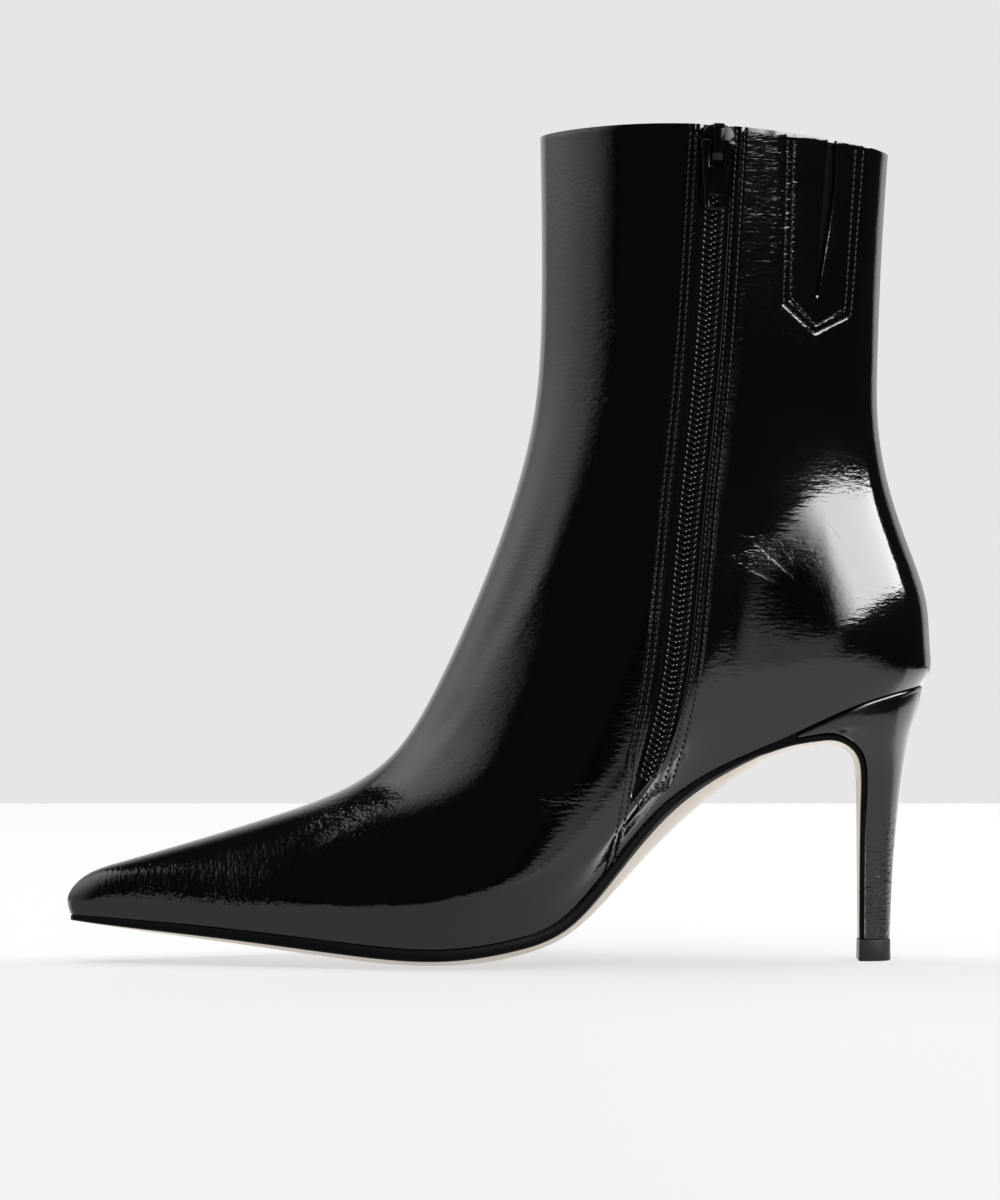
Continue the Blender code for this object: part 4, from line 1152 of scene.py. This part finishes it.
# %% Insole
INSOLE_THICKNESS, INSOLE_INSET = 2.0, 2.5
INSOLE_ENDS, END_TURN = (-124.6, 123.8), 0.06
BOARD_ROWS, BOARD_COLUMNS = 150, 25
start, end = INSOLE_ENDS
bend = np.linspace(END_TURN, math.pi - END_TURN, BOARD_ROWS)
stations = start + (end - start) * (1 - np.cos(bend)) / 2
board_q = np.sin(np.linspace(-math.pi / 2, math.pi / 2, BOARD_COLUMNS))
ring_q = np.concatenate([board_q, board_q[::-1], board_q[:1]])
ring_top = np.concatenate([np.zeros(BOARD_COLUMNS), np.ones(BOARD_COLUMNS), [0]])
net, row, column = grid_net(len(stations) - 1, len(ring_q) - 1)
x = stations[row]
stretched = TOE_X + (HEEL_X - TOE_X) * (x - start) / (end - start)
half = np.minimum(feather_width(x) - INSOLE_INSET, feather_width(stretched))
soft = ring_top[column] * INSOLE_THICKNESS * (1 - 0.25 * ring_q[column]**8)
put(net, last_point(x, ring_q[column] * half) - downward(x) * soft[:, None])
close_tube(net)
sock_look, shader, pen = new_finish("sock_look")
place = here(pen)
dots = pores(pen, place, 1.1, 0.001) * 0.03
tint = mixed(pen, noise(pen, place, 40.0, 3.0), (0.035, 0.031, 0.028), (0.06, 0.054, 0.048))
set_finish(shader, pen, Base_Color=tint, Roughness=noise(pen, place, 80.0) * 0.15 + 0.5,
           Normal=bumped(pen, dots), Specular_IOR_Level=0.3)
insole = piece("insole_sock", net, [sock_look], "insole")
print("insole:", len(insole.data.polygons), "faces")

# %% [markdown]
# Behind the zip's opening lies a woven tape, and behind the slit a ribbed elastic. Both are sheets laid at a
# depth under the leather, along the lines drawn above. Their weave is far below a millimetre, so it is left
# to the material: crossed sines for the twill, and one sine for the ribs.

# %% Sheets behind the leather


def inner_spot(line, level, edge, depth):
    """Points under the inner side, edge half gaps from a line and a depth below the surface."""
    turn = line.turn(level, edge)
    side = np.full(turn.shape, INNER)
    return smooth_upper(turn, level, side) - outward(turn, level, side) * np.asarray(depth)[..., None]


def backing(name, line, edges, depth, thickness, foot, top, rows, finish, node):
    """A sheet behind the leather, from its foot to its top level."""
    net, row, column = grid_net(rows, len(edges) - 1)
    edge = np.asarray(edges)[column]
    low = foot(edge)
    level = low + (top - low) * row / rows
    put(net, inner_spot(line, level, edge, depth + 0 * edge))
    bmesh.ops.recalc_face_normals(net, faces=net.faces)
    away = next(iter(net.faces)).normal.y > 0
    if away:
        bmesh.ops.reverse_faces(net, faces=net.faces)
    made = piece(name, net, [finish], node)
    thicken(made, thickness)
    return made


print("sheets can be laid")

# %% Tape and elastic
TAPE_FOOT_Z, TAPE_DEPTH, TAPE_THICKNESS = 50.0, WALL + 0.75, 0.6
GORE_FOOT_Z, GORE_RISE, GORE_TOP = 186.5, 8, 0.997
GORE_DEPTH, GORE_THICKNESS = WALL + 0.5, 0.8
weave_look, shader, pen = new_finish("tape_weave")
place = here(pen)
x, z = (axis(pen, place, k) for k in (0, 2))
twill = ((x * 5200 + z * 5200).math("SINE") * (x * 2600 - z * 5200).math("SINE"))
tint = mixed(pen, twill * 0.5 + 0.5, (0.006, 0.006, 0.006), (0.016, 0.016, 0.016))
set_finish(shader, pen, Base_Color=tint, Roughness=twill * 0.05 + 0.8, Normal=bumped(pen, twill * 0.05),
           Specular_IOR_Level=0.06)
tape_foot = zip_line.level(np.array(TAPE_FOOT_Z))
tape = backing("zip_tape_woven", zip_line, np.linspace(-2.0, 2.0, 17), TAPE_DEPTH, TAPE_THICKNESS,
               lambda edge: 0 * edge + tape_foot, 1.0, 90, weave_look, "zip_tape")
elastic_painted_shade_look, shader, pen = new_finish("elastic_ribs")
place = here(pen)
x, z = (axis(pen, place, k) for k in (0, 2))
ribs = (x * 4200).math("SINE")
cross = (z * 9000).math("SINE")
# The elastic is black, and its colour is made darker still, as painted shade inside the slit.
set_finish(shader, pen, Base_Color=mixed(pen, ribs * 0.5 + 0.5, (0.002, 0.002, 0.002), (0.005, 0.005, 0.005)),
           Roughness=cross * 0.05 + 0.8, Normal=bumped(pen, ribs * 0.12 + cross * 0.03),
           Specular_IOR_Level=0.06)
gore = backing("gore_ribbed", gore_line, np.linspace(-1, 1, 13), GORE_DEPTH, GORE_THICKNESS,
               lambda edge: gore_line.level(GORE_FOOT_Z + GORE_RISE * np.abs(edge), edge), GORE_TOP, 40,
               elastic_painted_shade_look, "gore_elastic")
print("tape and elastic:", len(tape.data.polygons), len(gore.data.polygons), "faces")

# %% [markdown]
# The chain is two nylon coils that mesh along the middle. Each turn shows as a sunk leg, a head at the middle
# and a bend at the tape, so each is a small drawn-out sphere, and two rows half a pitch apart make the chain.
# The points of one coarse sphere are repeated with arrays, because hundreds of operator calls would be slow.

# %% Small bars
PITCH = 1.72
COIL_FOOT_Z, COIL_TOP = 54.5, 0.985


def zip_stations(foot_z, top_level, pitch):
    """Levels one pitch apart along the zip's middle."""
    fine = np.linspace(float(zip_line.level(foot_z)), top_level, 800)
    path = inner_spot(zip_line, fine, 0 * fine, 0 * fine)
    length = np.concatenate([[0], np.cumsum(np.linalg.norm(np.diff(path, axis=0), axis=1))])
    return np.interp(np.arange(pitch / 2, length[-1], pitch), length, fine)


def axes_at(line, level, edge):
    """Points on the inner side with the directions along the line, across it and out."""
    turn = line.turn(level, edge)
    side = np.full(turn.shape, INNER)
    up = inner_spot(line, level + 0.003, edge, 0 * level) - inner_spot(line, level - 0.003, edge, 0 * level)
    up /= np.linalg.norm(up, axis=-1, keepdims=True)
    out = outward(turn, level, side)
    return smooth_upper(turn, level, side), up, np.cross(up, out), out


def small_ball():
    """Points and faces of one coarse sphere, to be repeated."""
    ball = bmesh.new()
    bmesh.ops.create_uvsphere(ball, u_segments=8, v_segments=6, radius=1.0)
    ball.verts.index_update()
    made = np.array([v.co for v in ball.verts]), [[v.index for v in face.verts] for face in ball.faces]
    ball.free()
    return made


BALL_POINTS, BALL_FACES = small_ball()


def bars(spot, along, across, out, sizes, lean=0.0):
    """Points of many small round bars, each a sphere drawn out along its own three directions."""
    c, s = math.cos(lean), math.sin(lean)
    leaning = along * c + across * s, across * c - along * s, out
    ways = np.stack([way * size for way, size in zip(leaning, sizes)], 1)
    return spot[:, None] + np.einsum("pk,nkj->npj", BALL_POINTS, ways)


def bar_net(groups):
    """One net of all the bars in some groups."""
    points = np.concatenate(groups)
    mesh = bpy.data.meshes.new("bars")
    faces = [[v + n * len(BALL_POINTS) for v in face] for n in range(len(points)) for face in BALL_FACES]
    mesh.from_pydata(((points - MIDDLE) * MM).reshape(-1, 3), [], faces)
    net = bmesh.new()
    net.from_mesh(mesh)
    bpy.data.meshes.remove(mesh)
    bmesh.ops.recalc_face_normals(net, faces=net.faces)
    return net


print("one bar has", len(BALL_FACES), "faces")

# %% Coil
LEG_SIZE, HEAD_SIZE, BEND_SIZE = (1.7, 0.6, 0.7), (0.62, 0.42, 0.6), (0.8, 0.36, 0.55)
LEG_LEAN, HEAD_LEAN, BEND_LEAN = 0.34, -0.25, 0.5


def nylon(name, rough, gloss):
    """Black nylon, dull or glossy."""
    made, shader, pen = new_finish(name)
    place = here(pen)
    tint = mixed(pen, noise(pen, place, 200.0), (0.006, 0.006, 0.006), (0.012, 0.012, 0.012))
    set_finish(shader, pen, Base_Color=tint, Roughness=noise(pen, place, 700.0) * 0.08 + rough,
               Specular_IOR_Level=gloss, Normal=bumped(pen, noise(pen, place, 1500.0) * 0.01))
    return made


legs, heads = [], []
for way in (-1, 1):
    stations = zip_stations(COIL_FOOT_Z, COIL_TOP, PITCH)
    stations = (stations + (0 if way < 0 else (stations[1] - stations[0]) / 2))[:-1]
    spot, up, across, out = axes_at(zip_line, stations, 0 * stations)
    leg = spot + across * way * 1.5 + up * 0.35 - out * 1.4
    head = spot + across * way * 0.5 - out * 0.45
    bend = spot + across * way * 2.5 + up * 0.7 - out * 0.5
    legs.append(bars(leg, across, up, out, LEG_SIZE, LEG_LEAN * way))
    heads.append(bars(head, across, up, out, HEAD_SIZE, HEAD_LEAN))
    heads.append(bars(bend, up, across, out, BEND_SIZE, BEND_LEAN * way))
net = bar_net(legs + heads)
dull_faces = sum(len(group) for group in legs) * len(BALL_FACES)
for number, face in enumerate(net.faces):
    face.material_index = int(number >= dull_faces)
finishes = [nylon("coil_leg", 0.6, 0.05), nylon("coil_head", 0.12, 0.8)]
coil = piece("zip_coil_turns", net, finishes, "zip_coil", sharp_deg=80)
print("coil:", len(coil.data.polygons), "faces")

# %% [markdown]
# Stitches are short, thick threads that lean a little in their row. Each is one small drawn-out sphere on
# the surface, and all the stitches of the boot are one joined mesh.

# %% Stitch rows
STITCH, STITCH_HALF, THREAD = 1.85, 0.82, 0.28
NEWTON_STEPS, FIRST_TURN = 30, 1.2


def surface_at(x, z):
    """Turn and level on the inner side for places of the side view, by Newton's steps."""
    turn, level = np.full(x.shape, FIRST_TURN), np.clip((z - 20) / 230, 0.02, 0.98)
    step = 1e-4
    for _ in range(NEWTON_STEPS):
        px, pz = side_point(turn, level, INNER)
        tx, tz = side_point(turn + step, level, INNER)
        lx, lz = side_point(turn, level + step, INNER)
        a, b, c, d = (tx - px) / step, (lx - px) / step, (tz - pz) / step, (lz - pz) / step
        det = a * d - b * c
        turn = np.clip(turn + (d * (x - px) - b * (z - pz)) / det, 0.05, 3.0)
        level = np.clip(level + (a * (z - pz) - c * (x - px)) / det, 0.0, 1.0)
    return turn, level


def stitch_row(xs, zs, lean, lift=0.05):
    """Points of the stitches along a line through places of the side view."""
    xs, zs = np.asarray(xs, float), np.asarray(zs, float)
    length = np.concatenate([[0], np.cumsum(np.hypot(np.diff(xs), np.diff(zs)))])
    at = np.arange(STITCH / 2, length[-1], STITCH)
    x, z = np.interp(at, length, xs), np.interp(at, length, zs)
    ahead = np.interp(at + 0.3, length, xs), np.interp(at + 0.3, length, zs)
    side = np.full(x.shape, INNER)
    turn, level = surface_at(x, z)
    spot, out = smooth_upper(turn, level, side), outward(turn, level, side)
    on = smooth_upper(*surface_at(*ahead), side) - spot
    on -= out * np.sum(on * out, -1, keepdims=True)
    on /= np.maximum(np.linalg.norm(on, axis=-1, keepdims=True), 1e-9)
    return bars(spot + out * lift, on, np.cross(on, out), out, (STITCH_HALF, THREAD, THREAD * 1.1), lean)


print("stitches are", STITCH, "mm apart")

# %% Stitches
LEAN = {"zip": 0.16, "panel": 0.12, "tack": 0.5}
ROW_TOP_Z, PANEL_ROW_GAP, PANEL_HALF, PANEL_SIDE_Z = 245.5, 2.2, 12, 230
TACK = {"x": (39.6, 49.4), "z": (48.6, 55.0), "rows": (0.0, 0.8, 1.6), "shift": 0.3, "lift": 0.25}
groups = []
for offset, foot in zip(*ZIP_ROWS.values()):
    heights = np.linspace(foot, ROW_TOP_Z, 80)
    shift = np.interp(heights, SEAM_SHIFT["z"], SEAM_SHIFT["x"]) if offset < 0 else 0.0
    lean = LEAN["zip"] if offset < 0 else -LEAN["zip"]
    groups.append(stitch_row(zip_line.x(heights) + offset + shift, heights, lean))
for shift in (0.0, PANEL_ROW_GAP):
    px, pz = np.array(PANEL["x"], float), np.array(PANEL["z"], float)
    grow, middle = 1 - shift / PANEL_HALF, px.mean()
    px, pz = middle + (px - middle) * grow, np.where(pz < PANEL_SIDE_Z, pz + shift, pz)
    fine = np.linspace(0, len(px) - 1, 60)
    px, pz = (np.interp(fine, range(len(corner)), corner) for corner in (px, pz))
    groups.append(stitch_row(px, pz, LEAN["panel"]))
for drop in TACK["rows"]:
    tack_x, tack_z = np.array(TACK["x"]) + drop * TACK["shift"], np.array(TACK["z"]) - drop
    groups.append(stitch_row(tack_x, tack_z, LEAN["tack"], TACK["lift"]))
net = bar_net(groups)
thread, shader, pen = new_finish("waxed_thread")
place = here(pen)
ply = noise(pen, place, 2200.0, 2.0)
set_finish(shader, pen, Base_Color=mixed(pen, ply, (0.006, 0.006, 0.006), (0.016, 0.016, 0.016)),
           Roughness=ply * 0.2 + 0.4, Normal=bumped(pen, ply * 0.04), Specular_IOR_Level=0.3)
stitches = piece("stitching", net, [thread], sharp_deg=80)
print("stitches:", sum(len(g) for g in groups), "in", len(stitches.data.polygons), "faces")

# %% [markdown]
# Slider and pull are die-cast and painted gloss black. They are laid out from the pull's pivot: a runs down
# the zip, b along the boot and c out of the surface. Each part is a few vertices, extruded and bevelled,
# because the bevels carry the thin highlights.

# %% Slider frame
PIVOT_Z, PIVOT_OUT, SLIDER_SPAN = 241.8, 2.7, 0.06
ends = zip_line.level(PIVOT_Z) - np.array([0.0, SLIDER_SPAN])
end_turns, end_sides = zip_line.turn(ends, 0.0), np.full(2, INNER)
upper_end, lower_end = smooth_upper(end_turns, ends, end_sides)
OUT = outward(end_turns, ends, end_sides)[0]
DOWN = (lower_end - upper_end) - OUT * (OUT @ (lower_end - upper_end))
DOWN /= np.linalg.norm(DOWN)
ASIDE = np.cross(OUT, DOWN)
PIVOT = upper_end + OUT * PIVOT_OUT
print("pull pivot at", (PIVOT - MIDDLE).round(2), "mm, hinge along", (-ASIDE).round(4))


def from_pivot(a, b, c):
    """A place given from the pivot in millimetres, in metres of the frame."""
    return (PIVOT + a * DOWN + b * ASIDE + (c - PIVOT_OUT) * OUT - MIDDLE) * MM


def cast(net, corners, way, bevel_mm):
    """A flat outline drawn along a way in millimetres, with rounded edges."""
    face = net.faces.new([net.verts.new(corner) for corner in corners])
    around = set(face.verts)
    raised = bmesh.ops.extrude_face_region(net, geom=[face])
    verts = [g for g in raised["geom"] if isinstance(g, bmesh.types.BMVert)]
    bmesh.ops.translate(net, verts=verts, vec=Vector(way * MM))
    around |= set(verts)
    edges = [e for e in net.edges if e.verts[0] in around and e.verts[1] in around]
    bmesh.ops.bevel(net, geom=edges, offset=bevel_mm * MM, affect="EDGES", segments=2, profile=0.5,
                    material=-1)


print("slider frame ready")

# %% [markdown]
# The slider is a plate that narrows down the zip, with an arched crown over it that holds the pull. Both are
# outlines drawn along one direction: the plate outwards, the crown sideways.

# %% Slider
PLATE = {
    "a": (-5.2, -4.9, -4.2, -2.9, -1.0, 1.2, 5.0, 8.0, 10.4),
    "half": (1.6, 2.6, 3.7, 4.5, 4.95, 4.9, 4.2, 3.7, 3.3),
}
PLATE_LOW, PLATE_HIGH, PLATE_BEVEL = 0.5, 1.7, 0.3
CROWN = {
    "a": (-5.6, -5.4, -3.6, 3.6, 5.4, 5.8, 4.0, 4.0, 2.8, -2.8, -4.0, -4.0),
    "c": (1.2, 3.6, 4.7, 4.7, 3.6, 1.2, 1.2, 3.0, 3.7, 3.7, 3.0, 1.2),
}
CROWN_HALF, CROWN_BEVEL = 1.6, 0.28
sides_of = list(zip(PLATE["a"], PLATE["half"]))
outline = sides_of + [(a, -half) for a, half in sides_of[::-1]]
net = bmesh.new()
cast(net, [from_pivot(a, b, PLATE_LOW) for a, b in outline], OUT * (PLATE_HIGH - PLATE_LOW), PLATE_BEVEL)
arch = [from_pivot(a, -CROWN_HALF, c) for a, c in zip(CROWN["a"], CROWN["c"])]
cast(net, arch, ASIDE * 2 * CROWN_HALF, CROWN_BEVEL)
bmesh.ops.recalc_face_normals(net, faces=net.faces)


def painted_metal(name):
    """Gloss black paint, rubbed a little in places."""
    made, shader, pen = new_finish(name)
    place = here(pen)
    worn = noise(pen, place, 900.0, 4.0, 0.7).clamp(0.62, 0.8)
    set_finish(shader, pen, Base_Color=mixed(pen, worn, (0.003, 0.003, 0.003), (0.012, 0.012, 0.012)),
               Roughness=worn * 0.08 + noise(pen, place, 300.0) * 0.04 + 0.07,
               Normal=bumped(pen, noise(pen, place, 600.0, 2.0) * 0.005), Specular_IOR_Level=0.3)
    return made


slider = piece("slider_cast", net, [painted_metal("slider_paint")], "zip_slider")
print("slider:", len(slider.data.polygons), "faces")

# %% [markdown]
# The pull hangs on the crown by the window at its top and has a second window near its end. A grid of three
# columns with two holes, narrowed down its length and given a thickness, is all it needs. It rides on a body
# of its own, because it swings on the slider.

# %% Pull tab
PULL = {
    "a": (-0.6, 0.6, 2.5, 7.2, 9.2, 15.5, 18.6, 19.8),
    "half": (4.5, 5.1, 4.6, 4.15, 3.9, 3.2, 2.75, 2.3),
    "window": (2.2, 2.2, 2.2, 2.2, 2.0, 1.8, 1.6, 1.6),
    "open_below": (False, True, True, False, False, True, False, False),
}
PULL_THICKNESS, PULL_BEVEL = 1.2, 0.25
net, row, column = grid_net(len(PULL["a"]) - 1, 3, lambda r, c: not (PULL["open_below"][r] and c == 1))
half, window = np.array(PULL["half"])[row], np.array(PULL["window"])[row]
b = np.choose(column, [-half, -window, window, half])
for vert, a, b_at in zip(net.verts, np.array(PULL["a"])[row], b):
    vert.co = from_pivot(a, b_at, PIVOT_OUT)
bmesh.ops.recalc_face_normals(net, faces=net.faces)
if next(iter(net.faces)).normal.dot(Vector(OUT)) < 0:
    bmesh.ops.reverse_faces(net, faces=net.faces)
pull = piece("pull_cast", net, [painted_metal("pull_paint")], "zip_pull", body="pull_tab")
thicken(pull, PULL_THICKNESS, offset=0)
round_rim(pull, PULL_BEVEL, angle_deg=30)
print("pull:", len(pull.data.polygons), "faces")

# %% [markdown]

# %% End
print("scene built")
